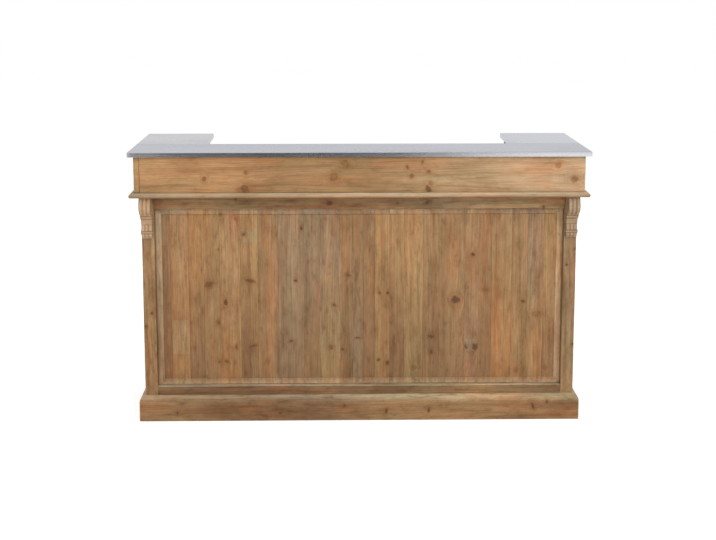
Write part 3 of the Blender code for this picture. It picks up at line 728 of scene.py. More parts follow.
@dataclass
class Wood:
    """How a piece of wood lies in its tree, and what its points carry.

    Fields are the way its fibres run, the way its best face looks, its tones with their
    places along the run, and its knots. Then, for the random numbers: how far the heart
    lies off along the trunk, aside in widths and below the back, how much the board leans
    and turns in the tree, how much its tone strays, how large scattered knots are, and
    how far knots turn and stretch.
    """

    run: Way
    face: Way
    tones: Tones
    knots: tuple[Knot, ...] = ()
    heart_along: tuple[float, float] = (3, 30)
    heart_aside: tuple[float, float] = (-0.5, 0.5)
    heart_below: tuple[float, float] = (0.02, 0.09)
    lean: float = 0.02
    turn: float = 0.012
    stray: float = 0.025
    scattered: tuple[float, float] = (0.003, 0.0075)
    knot_turn: float = 0.5
    knot_stretch: tuple[float, float] = (0.8, 1.4)

    @property
    def axes(self) -> tuple[Array, Array, Array]:
        """The three directions: along the fibres, across the face and out of the face."""
        along, out = self.run.vector, self.face.vector
        return along, np.cross(out, along), out

    def local(self, points: Array) -> Array:
        """Gives places as distances along, across and out of the face."""
        return np.stack([points @ axis for axis in self.axes], axis=-1)

    def world(self, places: Array) -> Array:
        """Gives places along, across and out of the face as x, y, z."""
        return places @ np.stack(self.axes)

    def knot_at(self, x: float, z: float, *rest: float) -> Knot:
        """Makes a knot from a place on a face that looks at the guests."""
        along, across, _ = self.local(np.array([x, 0.0, z]))
        return Knot(float(along), float(across), *rest)

    def read_knots(self, rows: Rows, depth: float) -> None:
        """Adds knots read off the photograph, each a pixel, a radius, a spread and a dark."""
        for px, py, *rest in rows:
            self.knots += (self.knot_at(*RULER.at(px, py, depth), *rest),)

    def scatter(self, seed: np.random.Generator, low: Array, high: Array, every: float) -> None:
        """Adds small knots at random.

        Args:
            seed: The piece's own random numbers.
            low: The lowest place along and across.
            high: The highest place.
            every: The length of board that holds one knot on average.
        """
        count = int(seed.poisson((high[0] - low[0]) / every))
        places = [seed.uniform(low[way], high[way], count) for way in (0, 1)]
        radii = seed.uniform(*self.scattered, count)
        self.knots += tuple(Knot(*map(float, row)) for row in zip(*places, radii))

    def fields(self, points: Array, worn: Array, seed: np.random.Generator) -> dict[str, Array]:
        """Works out what each point carries.

        Args:
            points: The piece's points.
            worn: How worn each point is, 0 to 1.
            seed: The piece's own random numbers.

        Returns:
            The grain, the tone and the wear of each point.
        """
        places = self.local(points)
        low, high = places.min(axis=0), places.max(axis=0)
        middle = (low + high) / 2
        grain = places - np.array([
            middle[0] - seed.uniform(*self.heart_along),
            middle[1] + seed.uniform(*self.heart_aside) * (high[1] - low[1]),
            low[2] - seed.uniform(*self.heart_below),
        ])
        for way, most in ((2, self.lean), (1, self.turn)):
            grain[:, way] += seed.uniform(-most, most) * (places[:, 0] - middle[0])
        stops, tones = zip(*self.tones)
        lights = np.array([tone.light for tone in tones])
        tone = np.stack([np.interp(places[:, 0], stops, part) for part in lights.T], axis=1)
        return {"grain": grain, "tone": tone * (1 + seed.normal(0, self.stray)), "wear": worn}

    def knot_field(self, points: Array, quads: Array, others: list[list[int]]) -> Array:
        """Works out where the nearest knot is from each corner of each face.

        All corners of a face take the same knot, the nearest to the face's middle, so the
        distance runs evenly over the face and no knot shows twice.

        Args:
            points: The piece's points.
            quads: The faces that knots can show on.
            others: The rest of the faces.

        Returns:
            For each corner the way from the knot, along and across, its radius and how
            dark it is.
        """
        rest = np.tile(NO_KNOT, (sum(map(len, others)), 1))
        if not self.knots:
            return np.concatenate([np.tile(NO_KNOT, (quads.size, 1)), rest])
        table = np.array([astuple(knot) for knot in self.knots])
        seed = np.random.default_rng(len(table))
        angle = seed.uniform(-self.knot_turn, self.knot_turn, len(table))
        long = table[:, 3] * seed.uniform(*self.knot_stretch, len(table))
        corners = self.local(points)[quads][..., :2]
        away = np.linalg.norm(corners.mean(axis=1)[:, None] - table[None, :, :2], axis=2)
        nearest = np.argmin(away - table[None, :, 2], axis=1)
        x, y = np.moveaxis(corners - table[nearest, None, :2], -1, 0)
        sine, cosine, long = (part[nearest, None] for part in (np.sin(angle), np.cos(angle), long))
        offset = np.stack(
            [(cosine * x + sine * y) * long, (cosine * y - sine * x) / long**0.5], axis=-1
        )
        look = np.broadcast_to(table[nearest][:, None, [2, 4]], offset.shape)
        return np.concatenate([np.concatenate([offset, look], axis=-1).reshape(-1, 4), rest])


@dataclass
class Workshop:
    """Turns points and faces into pieces, with the finish of each slot."""

    finishes: dict[Slot, bpy.types.Material]

    def put(
        self, name: str, points: Array, quads: Array, others: list[list[int]], slot: Slot,
        body: str, nodes: Iterable[str], fields: dict[str, Array], wood: Optional[Wood] = None,
    ) -> None:
        """Makes a piece and seats it on its body.

        Args:
            name: The piece's name.
            points: Its points, in metres.
            quads: The corners of its four-sided faces, anticlockwise from outside.
            others: The corners of each other face.
            slot: The slot whose finish it takes.
            body: The body it rides on.
            nodes: The solids it stands for.
            fields: What each point carries, by name.
            wood: How it lies in its tree, or None for metal.
        """
        mesh = bpy.data.meshes.new(name)
        mesh.from_pydata(points.tolist(), [], quads.tolist() + others)
        fields["tone"] = np.concatenate([fields["tone"], np.ones((len(points), 1))], axis=1)
        if wood:
            knots = wood.knot_field(points, quads, others)
            fields |= {"knot": knots[:, :3], "dark": knots[:, 3]}
        for key, values in fields.items():
            kind, part, domain = LAYERS[key]
            layer = mesh.attributes.new(key, kind, domain)
            layer.data.foreach_set(part, np.ascontiguousarray(values, np.float32).ravel())
        mesh.materials.append(self.finishes[slot])
        mesh.shade_smooth()
        mesh.set_sharp_from_angle(angle=SHARP_ANGLE)
        mesh.update()
        piece = bpy.data.objects.new(name, mesh)
        bpy.context.scene.collection.objects.link(piece)
        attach(piece, body)
        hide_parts(*nodes)
        LOG.info("%s: %d faces, rides on %s", name, len(mesh.polygons), body)

    def board(
        self, node: str, wood: Wood, slot: Slot,
        ends: Optional[dict[tuple[int, int], float]] = None, knot_px: Rows = (), **more: Any,
    ) -> None:
        """Makes a board in its solid's place.

        Args:
            node: The solid it stands for, whose name it takes.
            wood: How it lies in its tree.
            slot: The slot whose finish it takes.
            ends: New places for sides of the solid's box, by corner, 0 or 1, and axis.
            knot_px: Its photographed knots, as Wood.read_knots reads them.
            **more: Any other field of Timber.
        """
        box = np.array(span(node))
        for side, place in (ends or {}).items():
            box[side] = place
        wood.read_knots(knot_px, box[0, 1])
        Timber(self, node, box[0], box[1], wood, slot, (node,), **more).build()


@dataclass
class Timber:
    """A board with eased arrises between two corners.

    The section is a rounded rectangle or a moulding's, carried along the run. Near either
    end it draws in by r (1 - sin a) while it moves on by r (1 - cos a), which eases the end
    too. Every point then goes inwards by a soft ripple, and by more on the arrises, as a
    hand plane and years of use leave them. A mitre moves each point of an end in by its
    depth behind the outer line, times the mitre, down to the mitre's own depth. A stave
    lowers its best face. Painted light pales what looks up, and painted shade darkens what
    looks down, on a board without a moulding only on its front half.
    """

    shop: Workshop
    name: str
    low: Array
    high: Array
    wood: Wood
    slot: Slot
    nodes: tuple[str, ...]
    body: str = "counter"
    ease: float = 0.0014
    step: float = 0.012
    ripple_depth: float = 0.0002
    worn_depth: float = 0.0009
    profile: Optional[Profile] = None
    mitres: tuple[float, float] = (0.0, 0.0)
    mitre_depth: float = math.inf
    marks_along: tuple[float, ...] = ()
    marks_across: tuple[float, ...] = ()
    stave: Optional["Stave"] = None
    knot_every: float = 0.0
    # How strongly faces that look up get painted light, and faces that look down painted shade.
    dust: float = 0.0
    rub: float = 1.0

    def rings(self, start: Array, end: Array) -> tuple[Array, Array, Array]:
        """Works out the places of the sections along the run.

        Args:
            start: Where each point of the section starts.
            end: Where each point of the section ends.

        Returns:
            The place of each point of each section, how far each section draws in, and
            how worn it is.
        """
        length = float(np.max(end) - np.min(start))
        first, last = (0.0 if mitre else self.ease for mitre in self.mitres)
        near, far = (max(END_EASES * ease, END_STEP) for ease in (first, last))
        marks = np.array(self.marks_along) - float(np.min(start))
        inner = spaced(near, length - far, self.step, marks)
        stations = np.concatenate([[first], inner, [length - last]])
        share = ((stations - first) / (length - first - last))[:, None]
        path = (start + (end - start) * share) + (first * (1 - share) - last * share)
        worn = np.zeros(len(share))
        worn[[0, -1]] = 1.0
        parts = [(path, np.zeros(len(share)), worn)]
        on, drawn = 1 - np.cos(ARC), 1 - np.sin(ARC)
        if first:
            parts.insert(0, (start + first * on[:, None], first * drawn, np.ones(3)))
        if last:
            parts.append((end - last * on[::-1, None], last * drawn[::-1], np.ones(3)))
        return tuple(map(np.concatenate, zip(*parts)))

    def build(self) -> None:
        """Makes the board."""
        seed, (_, across, out) = seeded(self.name), self.wood.axes
        box = self.wood.local(np.stack([self.low, self.high]))
        low, high = box.min(axis=0) + SKIN, box.max(axis=0) - SKIN
        middle = (low[2] + high[2]) / 2
        if self.profile:
            section = self.profile.section(low[1:], high[1:], across[2] > 0)
        else:
            section = rounded_rectangle(
                low[1:], high[1:], self.ease, self.step, self.marks_across
            )
        behind = np.minimum(high[2] - section.points[:, 1], self.mitre_depth)
        path, draw, worn = self.rings(
            low[0] + self.mitres[0] * behind, high[0] - self.mitres[1] * behind
        )
        rubbed = np.maximum(worn[:, None], section.worn)
        shape = (*path.shape, 2)
        places = np.concatenate([path[..., None], np.broadcast_to(section.points, shape)], -1)
        depth = self.ripple_depth * ripple(places, seed, PLANE_WAVES)
        dents = np.clip(ripple(places, seed, DENT_WAVES) - DENT_LEVEL, 0, 1)
        depth = depth + self.worn_depth * rubbed * dents
        places[..., 1:] -= (draw[:, None] + depth)[..., None] * section.normals
        if self.stave:
            places[..., 2] -= (places[..., 2] > middle) * self.stave.relief(places)
        points = self.wood.world(places).reshape(-1, 3)
        count, last = path.shape[1], path.size - path.shape[1]
        caps = [list(range(count))[::-1], list(range(last, last + count))]
        if self.knot_every:
            self.wood.scatter(seed, low, high, self.knot_every)
        fields = self.wood.fields(points, rubbed.reshape(-1), seed)
        # Painted light on faces that look up and painted shade on faces that look down, by how far
        # each faces up or down.
        painted_light_share = (section.normals @ [across[2], out[2]] * self.dust)[:, None]
        if not self.profile:
            painted_light_share = painted_light_share * (section.points[:, 1:] > middle)
        grey = 1 + np.where(painted_light_share > 0, painted_light_share * (PAINTED_TOP_LIGHT - 1), -painted_light_share * (PAINTED_UNDER_SHADE - 1))
        fields["tone"] *= np.tile(grey, (len(path), 1))
        fields["wear"] = fields["wear"] * self.rub
        if self.stave:
            fields["tone"] *= self.stave.tint(places).reshape(-1, 3)
        self.shop.put(
            f"{self.name}_wood", points, grid_faces(len(path), count), caps, self.slot,
            self.body, self.nodes, fields, self.wood,
        )


# The counter


@dataclass
class Frames:
    """The posts and the rails between them, on three sides."""

    shop: Workshop
    knot_every: float = 0.5
    # How strongly the rails' upward faces get painted light and their downward faces painted
    # shade.
    dust: float = 5.0
    left_knots: Rows = ((152, 313, 0.0065), (157, 355, 0.006))
    right_knots: Rows = ((567, 265, 0.006),)
    rail_knots: Rows = ((330, 202, 0.012), (427, 201.5, 0.008))

    def board(self, node: str, wood: Wood, knots: Rows = (), **more: Any) -> None:
        """Makes a post or a rail."""
        self.shop.board(
            node, wood, Slot.FRAME, knot_px=knots, knot_every=self.knot_every, **more
        )

    def build(self) -> None:
        """Makes the four corner posts, and the six rails from post to post."""
        brown, grey, tan, umber = Tone.BROWN, Tone.GREY, Tone.TAN, Tone.UMBER
        for node, looks, tones, knots in (
            ("left_front", Way.FRONT, ((0.0, brown), (0.5, tan), (0.92, grey)), self.left_knots),
            (
                "right_front", Way.FRONT, ((0.0, brown), (0.6, grey), (0.92, brown)),
                self.right_knots,
            ),
            ("left_rear", Way.REAR, plain(tan), ()),
            ("right_rear", Way.REAR, plain(grey), ()),
        ):
            self.board(f"{node}_post", Wood(Way.UP, looks, tones), knots)
        clear = {
            (0, 0): span("left_front_post")[1][0] + GAP,
            (1, 0): span("right_front_post")[0][0] - GAP,
        }
        for part, tones, knots in (
            ("top", ((-0.8, brown), (0.1, brown), (0.3, grey), (0.8, tan)), self.rail_knots),
            ("bottom", ((-0.8, umber), (0.1, umber), (0.5, brown), (0.8, umber)), ()),
        ):
            wood = Wood(Way.RIGHT, Way.FRONT, tones)
            self.board(f"front_{part}_rail", wood, knots, ends=clear, dust=self.dust)
            for side, looks in SIDES.items():
                ends = {
                    (0, 1): span(f"{side}_front_post")[1][1] + GAP,
                    (1, 1): span(f"{side}_rear_post")[0][1] - GAP,
                }
                wood = Wood(Way.REAR, looks, plain(brown))
                self.board(f"{side}_side_{part}_rail", wood, ends=ends, dust=self.dust)


@dataclass(frozen=True)
class Mend:
    """A filled or let-in place on a panel: its corners in x and z, and how it tints."""

    left: float
    low: float
    right: float
    high: float
    factors: Triple

    def share(self, x: Array, z: Array) -> Array:
        """Gives 1 inside the place and 0 outside it, with narrow soft edges."""
        inside = np.min([x - self.left, self.right - x, z - self.low, self.high - z], axis=0)
        return np.clip(inside / (2 * MARK) + 0.5, 0, 1)


@dataclass
class Stave:
    """How deep the face of one stave lies, and how it is tinted.

    Fields are its panel, its wood, its two sides across, how far it stands back, the dirt in
    each of its joints, and the mends on it.
    """

    panel: "StavedPanel"
    wood: Wood
    sides: Array
    lift: float
    darkening: Array
    mends: list[Mend]

    def __post_init__(self) -> None:
        """Works out the frame's corners along, across and out of the face."""
        self.frame = np.sort(self.wood.local(np.stack(self.panel.opening)), axis=0)

    def inside(self, places: Array) -> tuple[Array, Array]:
        """Gives how far inside the frame each place is, along the stave and across it."""
        inner = np.minimum(places - self.frame[0], self.frame[1] - places)
        return inner[..., 0], inner[..., 1]

    def relief(self, places: Array) -> Array:
        """Lowers the face over the border, at the joints and by the stave's own lift.

        Args:
            places: Places along, across and out of the face.

        Returns:
            How far each is lowered.
        """
        panel, depth = self.panel, np.minimum(*self.inside(places))
        share = np.clip(1 - depth / panel.border, 0, 1)
        shoulder = np.clip((panel.border - depth) / MARK, 0, 1) * panel.shoulder
        middle, half = self.sides.mean(), (self.sides[1] - self.sides[0]) / 2
        bow = ((places[..., 1] - middle) / half) ** 2 * panel.crown
        return shoulder + share * (panel.drop - panel.shoulder) + bow + self.lift

    def tint(self, places: Array) -> Array:
        """Pales the border, partly its own paler bevel and partly painted light, paints shade
        towards the foot and a shade line at the shoulder, and darkens some joints and mends.

        Args:
            places: Places along, across and out of the face.

        Returns:
            Three factors for the colour of each.
        """
        panel, (along, aside) = self.panel, self.inside(places)
        depth = np.minimum(along, aside)
        rise, _, middle = (self.frame[1] - self.frame[0]) * [1, 1, 0.5]
        height = (places[..., :1] - self.frame[0, 0]) / rise
        # Painted light falloff: darker towards the foot, paler towards the head.
        factor = np.array(panel.painted_foot_shade) + (np.array(panel.clean) - panel.painted_foot_shade) * height.clip(0, 1)
        # The border goes pale: partly its own paler bevel, partly painted light that lifts the
        # rail's shadow at the head and the recess's shade at the sides, and lights the ledge at
        # the foot.
        near = 1 - np.clip(depth / panel.border, 0, 1)
        foot = panel.foot_pale_and_lit * (1 + near + 2.5 * near**6)
        level = np.where(height[..., 0] > 0.5, panel.head_pale_and_lit * near, foot)
        face = places[..., 2] > self.frame[0, 2] + middle
        share = np.clip((panel.border - depth) / MARK, 0, 1) * face
        share = (share * np.where(aside < along, panel.side_share, level))[..., None]
        pale_lit_tone = Tone.LIMED_AND_LIT.light / self.wood.tones[0][1].light
        factor = factor * (1 - share) + pale_lit_tone * share
        # A painted shade line along the border's shoulder, and dirt in some joints.
        line = np.clip(1 - np.abs(depth - panel.border + MARK) / (2 * MARK), 0, 1)
        for side, amount in zip(self.sides, self.darkening):
            joint = np.clip(1 - np.abs(places[..., 1] - side) / (3 * MARK), 0, 1)
            line = np.maximum(line, amount / panel.full_dirt * joint)
        factor = factor * (1 - panel.line_dirt_and_shade * line[..., None])
        x, _, z = np.moveaxis(self.wood.world(places), -1, 0)
        for mend in self.mends:
            factor = factor * (1 + mend.share(x, z)[..., None] * (np.array(mend.factors) - 1))
        return factor


@dataclass
class StavedPanel:
    """A panel of upright staves, raised in the middle, in a frame.

    The face lies at full height inside a border. Over the border it drops by a small
    shoulder and then slopes back evenly to the frame. Each stave is a little crowned
    across and stands a hair above or below its neighbours, so that the joints show.
    """

    shop: Workshop
    node: str
    looks: Way
    opening: tuple[Array, Array]
    joints: Array
    tones: tuple[tuple[Tone, Tone], ...]
    knots: Rows = ()
    mends: tuple[Mend, ...] = ()
    border: float = 0.026
    drop: float = 0.006
    shoulder: float = 0.0016
    crown: float = 0.00006
    # How far the border goes pale at the head, foot and sides: partly its own colour, partly
    # painted light.
    head_pale_and_lit: float = 0.95
    foot_pale_and_lit: float = 0.33
    side_share: float = 0.76
    # Painted shade at the foot and painted light at the head of each stave.
    painted_foot_shade: Triple = (0.82, 0.80, 0.79)
    clean: Triple = (1.07, 1.10, 1.17)
    joint_dirt: float = 0.36
    # How dark the painted shade line at the shoulder and the dirty joints are.
    line_dirt_and_shade: float = 0.22
    full_dirt: float = 0.3
    dirty_share: float = 0.4
    most_lift: float = 0.0002
    foot_at: float = 0.30
    head_at: tuple[float, float] = (0.62, 0.78)
    knot_every: float = 0.5

    def stave(self, number: int, left: float, right: float) -> None:
        """Makes one stave.

        Args:
            number: Its place in the row, from 0.
            left: Where it starts.
            right: Where it ends.
        """
        name = f"{self.node}_stave_{number + 1:02d}"
        seed = seeded(name, 1)
        box = np.array(span(self.node))
        box[:, 0 if self.looks is Way.FRONT else 1] = left, right
        box[:, 2] = self.opening[0][2], self.opening[1][2]
        foot, head = self.tones[number % len(self.tones)]
        change = float(seed.uniform(*self.head_at))
        wood = Wood(Way.UP, self.looks, ((self.foot_at, foot), (change, head)))
        wood.knots = tuple(wood.knot_at(*knot) for knot in self.knots if left <= knot[0] < right)
        sides, lift = np.sort(wood.local(box)[:, 1]), float(seed.uniform(0.0, self.most_lift))
        darkening = seed.uniform(0, self.joint_dirt, 2) * (seed.random(2) < self.dirty_share)
        near = [mend for mend in self.mends if mend.left < right and mend.right > left]
        stave = Stave(self, wood, sides, lift, darkening, near)
        lines = np.array([self.border, self.border - MARK, self.border - 3 * MARK])
        along, across = ([*(ends[0] + lines), *(ends[1] - lines)] for ends in stave.frame.T[:2])
        across += [sides[0] + 3 * MARK, sides[1] - 3 * MARK]
        for mend in near:
            along += [edge + soft for edge in (mend.low, mend.high) for soft in (-MARK, MARK)]
            across += [soft - edge for edge in (mend.left, mend.right) for soft in (-MARK, MARK)]
        Timber(
            self.shop, name, box[0], box[1], wood, Slot.PANEL, () if number else (self.node,),
            ease=0.0002, ripple_depth=0.00010, worn_depth=0.00012, rub=0.2, stave=stave,
            marks_along=tuple(along), marks_across=tuple(across),
            knot_every=0.0 if self.knots else self.knot_every,
        ).build()

    def build(self) -> None:
        """Makes the staves, of which the first stands for the whole solid."""
        for number, (left, right) in enumerate(zip(self.joints[:-1], self.joints[1:])):
            self.stave(number, left, right)


@dataclass
class Panels:
    """The staved panels on the front and the two sides."""

    shop: Workshop
    joint_px: tuple[float, ...] = (
        171.8, 189.7, 204.5, 220.4, 241.2, 258.4, 278.6, 304.2, 320.9, 340.0, 352.8, 363.9,
        374.7, 389.9, 404.2, 423.3, 439.3, 464.8, 479.0, 491.9, 511.8, 527.8, 543.7,
    )
    stave_tones: tuple[tuple[Tone, Tone], ...] = (
        (Tone.RUST, Tone.BROWN), (Tone.ORANGE, Tone.AMBER), (Tone.BROWN, Tone.ORANGE),
        (Tone.TAN, Tone.HONEY), (Tone.HONEY, Tone.AMBER), (Tone.BROWN, Tone.HONEY),
        (Tone.TAN, Tone.TAN), (Tone.GREY, Tone.GREY), (Tone.BROWN, Tone.GREY),
        (Tone.OLIVE, Tone.GREY), (Tone.TAN, Tone.TAN), (Tone.GREY, Tone.BROWN),
        (Tone.BROWN, Tone.TAN), (Tone.HONEY, Tone.HONEY), (Tone.BROWN, Tone.HONEY),
        (Tone.OLIVE, Tone.HONEY), (Tone.BROWN, Tone.TAN), (Tone.TAN, Tone.TAN),
        (Tone.ROSE, Tone.TAN), (Tone.TAN, Tone.BROWN), (Tone.ORANGE, Tone.TAN),
        (Tone.HONEY, Tone.TAN), (Tone.HONEY, Tone.GREY), (Tone.TAN, Tone.HONEY),
    )
    knot_px: Rows = (
        (237, 217, 0.008, 1.0, 0.4), (222, 213, 0.007, 1.0, 0.4), (245, 233, 0.008, 1.0, 0.7),
        (209, 284, 0.0140, 1.3, 0.65), (250.5, 280, 0.0140, 2.5, 0.75), (226, 302, 0.011),
        (296, 280, 0.007), (349, 275, 0.008, 1.5, 0.8), (334, 305, 0.008, 1.0, 0.8),
        (220, 248, 0.006, 1.0, 0.4), (302, 227, 0.006), (473, 254, 0.0095), (388, 293, 0.0075),
        (380, 293, 0.006, 1.0, 0.8), (456, 300, 0.0180, 0.8), (486, 290, 0.009, 1.0, 0.3),
        (524, 302, 0.008), (236, 348, 0.007, 1.0, 0.7), (253, 347, 0.0100, 2.0, 0.7),
        (226, 363, 0.008, 1.0, 0.7), (219, 363, 0.006, 1.0, 0.4), (219, 323, 0.008, 1.0, 0.6),
        (291, 342, 0.007, 1.5), (331, 349, 0.0085, 1.0, 0.6), (343, 351, 0.007, 1.6),
        (358, 339, 0.007, 1.5), (432, 338, 0.011), (432, 354, 0.008), (476, 349, 0.0140),
        (467, 349, 0.007, 0.6, 0.8), (379, 362, 0.007), (388, 365, 0.009),
        (415, 370, 0.009, 1.0, 0.25), (518, 373, 0.009, 1.0, 0.3), (547, 371, 0.010, 1.0, 0.3),
        (538, 315, 0.012, 1.0, 0.2),
    )
    mend_px: Rows = (
        (172.6, 355.0, 189.4, 320.0, 1.04, 1.24, 1.44),
        (464.8, 353.0, 478.5, 341.0, 0.97, 1.22, 1.48),
        (242.0, 241.0, 258.0, 228.0, 0.92, 1.10, 1.24),
    )
    side_stave: float = 0.056
    side_stray: float = 0.012
    joint_py: float = 300

    def build(self) -> None:
        """Makes the three panels."""
        low, high = span("front_panel")
        plane = low[1]
        low[0] = span("left_front_post")[1][0] + GAP
        high[0] = span("right_front_post")[0][0] - GAP
        low[2] = span("front_bottom_rail")[1][2] + GAP
        high[2] = span("front_top_rail")[0][2] - GAP
        found = [RULER.at(px, self.joint_py, plane)[0] for px in self.joint_px]
        knots = tuple((*RULER.at(px, py, plane), *rest) for px, py, *rest in self.knot_px)
        mends = tuple(
            Mend(*RULER.at(left, low_px, plane), *RULER.at(right, high_px, plane), tuple(factors))
            for left, low_px, right, high_px, *factors in self.mend_px
        )
        StavedPanel(
            self.shop, "front_panel", Way.FRONT, (low, high),
            np.array([low[0], *found, high[0]]), self.stave_tones, knots, mends,
        ).build()
        for side, looks in SIDES.items():
            node = f"{side}_side_panel"
            opening = span(node)
            start = span(f"{side}_front_post")[1][1] + 2 * GAP
            end = span(f"{side}_rear_post")[0][1] - 2 * GAP
            for corner, along, upright in zip(opening, (start, end), (low[2], high[2])):
                corner[1:] = along, upright
            even = np.linspace(start, end, int((end - start) / self.side_stave) + 1)
            even[1:-1] += seeded(node).uniform(-self.side_stray, self.side_stray, len(even) - 2)
            StavedPanel(self.shop, node, looks, opening, even, self.stave_tones[3:]).build()


@dataclass
class Fascia:
    """The plain boards between the top and the cornice.

    At the left corner the side board's end shows, and at the right corner the front board's.
    """

    shop: Workshop
    ease: float = 0.0016
    knot_every: float = 0.3
    # Tones from left to right; the paler right end is partly the boards' own colour and partly
    # painted light from the key lamp on that side.
    tones: Tones = (
        (-0.86, Tone.AMBER), (-0.50, Tone.AMBER), (-0.30, Tone.TAN), (0.05, Tone.TAN),
        (0.30, Tone.SAND), (0.86, Tone.PALE),
    )
    knot_px: Rows = (
        (206, 178, 0.009, 1.0, 0.55), (247, 172, 0.008, 1.0, 0.45), (246, 188, 0.017, 1.0, 0.65),
        (334, 177, 0.014, 1.0, 0.25), (345, 163, 0.011, 1.0, 0.10), (407, 167, 0.007, 1.0, 0.7),
        (411, 176, 0.009, 1.0, 0.55), (428, 171, 0.008, 1.0, 0.50), (430, 183, 0.008, 1.0, 0.3),
        (428, 189, 0.015, 1.0, 0.85), (557, 165, 0.012, 1.0, 0.40), (573, 179, 0.014, 0.8, 0.60),
        (422, 162, 0.006, 1.0, 0.6),
    )

    def build(self) -> None:
        """Makes the front board, the side boards and the rear returns."""
        self.shop.board(
            "front_fascia", Wood(Way.RIGHT, Way.FRONT, self.tones), Slot.FASCIA,
            {(1, 0): span("right_fascia")[1][0]}, self.knot_px, ease=self.ease, step=0.010,
        )
        behind = {(0, 1): span("front_fascia")[1][1] + GAP}
        side_boards = (("left", Tone.HONEY, {}), ("right", Tone.SAND, behind))
        for side, tone, ends in side_boards:
            for node, wood, cut in (
                (f"{side}_fascia", Wood(Way.REAR, SIDES[side], plain(tone)), ends),
                (f"{side}_rear_fascia", Wood(Way.RIGHT, Way.REAR, plain(Tone.TAN)), {}),
            ):
                self.shop.board(
                    node, wood, Slot.FASCIA, cut, ease=self.ease, knot_every=self.knot_every
                )


@dataclass
class Mouldings:
    """The cornice under the fascia and the plinth round the foot, mitred at the corners."""

    shop: Workshop
    cornice_tones: Tones = ((-0.9, Tone.GREY), (-0.75, Tone.SAND), (0.9, Tone.SAND))
    plinth_tones: Tones = (
        (-0.9, Tone.BROWN), (-0.2, Tone.UMBER), (0.2, Tone.TAN), (0.9, Tone.BROWN)
    )
    plinth_knots: Rows = (
        (175, 417.5, 0.005), (279, 418, 0.005), (344.5, 410.5, 0.006), (387, 416.5, 0.009, 1.7),
        (430, 415.5, 0.010, 2.0), (536, 412, 0.011, 2.0), (550, 407.5, 0.007),
    )
    side_mitre: float = 0.041

    def length(
        self, node: str, wood: Wood, profile: Profile, mitres: tuple[float, float],
        mitre_depth: float = math.inf, knots: Rows = (),
    ) -> None:
        """Makes one moulded board.

        Args:
            node: The solid it stands for, whose name it takes.
            wood: How it lies in its tree.
            profile: Its section and finish.
            mitres: How far each end moves in for each metre behind the outer line.
            mitre_depth: How far behind the outer line the mitres stop.
            knots: Its photographed knots, or none for random ones.
        """
        self.shop.board(
            node, wood, profile.slot, knot_px=knots, profile=profile, mitres=mitres,
            mitre_depth=mitre_depth, ease=0.0012, worn_depth=0.0004, dust=profile.dust,
            knot_every=0.0 if knots else profile.knot_every,
        )

    def build(self) -> None:
        """Makes the five boards of the cornice and the three of the plinth."""
        corner = span("front_cornice")[1][0] - span("right_front_post")[0][0]
        wood = Wood(Way.RIGHT, Way.FRONT, self.cornice_tones)
        self.length("front_cornice", wood, CORNICE, (1.0, 1.0), corner)
        wood = Wood(Way.RIGHT, Way.FRONT, self.plinth_tones)
        self.length("front_plinth", wood, PLINTH, (1.0, 1.0), knots=self.plinth_knots)
        for side, tone, outer in (
            ("left", Tone.GREY, (1.0, 0.0)), ("right", Tone.SAND, (0.0, 1.0)),
        ):
            wood = Wood(Way.REAR, SIDES[side], plain(tone))
            self.length(f"{side}_cornice", wood, CORNICE, (1.0, 1.0), self.side_mitre)
            wood = Wood(Way.REAR, SIDES[side], plain(Tone.BROWN))
            self.length(f"{side}_plinth", wood, PLINTH, (1.0, 0.0))
            wood = Wood(Way.RIGHT, Way.REAR, plain(Tone.HONEY))
            self.length(f"{side}_rear_cornice", wood, CORNICE, outer)


def between(drop: Array, start: float, end: float, soft: float = 0.002) -> Array:
    """Gives 1 between two drops and 0 outside them, with soft ends."""
    rise, fall = (drop - start) / soft + 0.5, (end - drop) / soft + 0.5
    return np.clip(rise, 0, 1) * np.clip(fall, 0, 1)


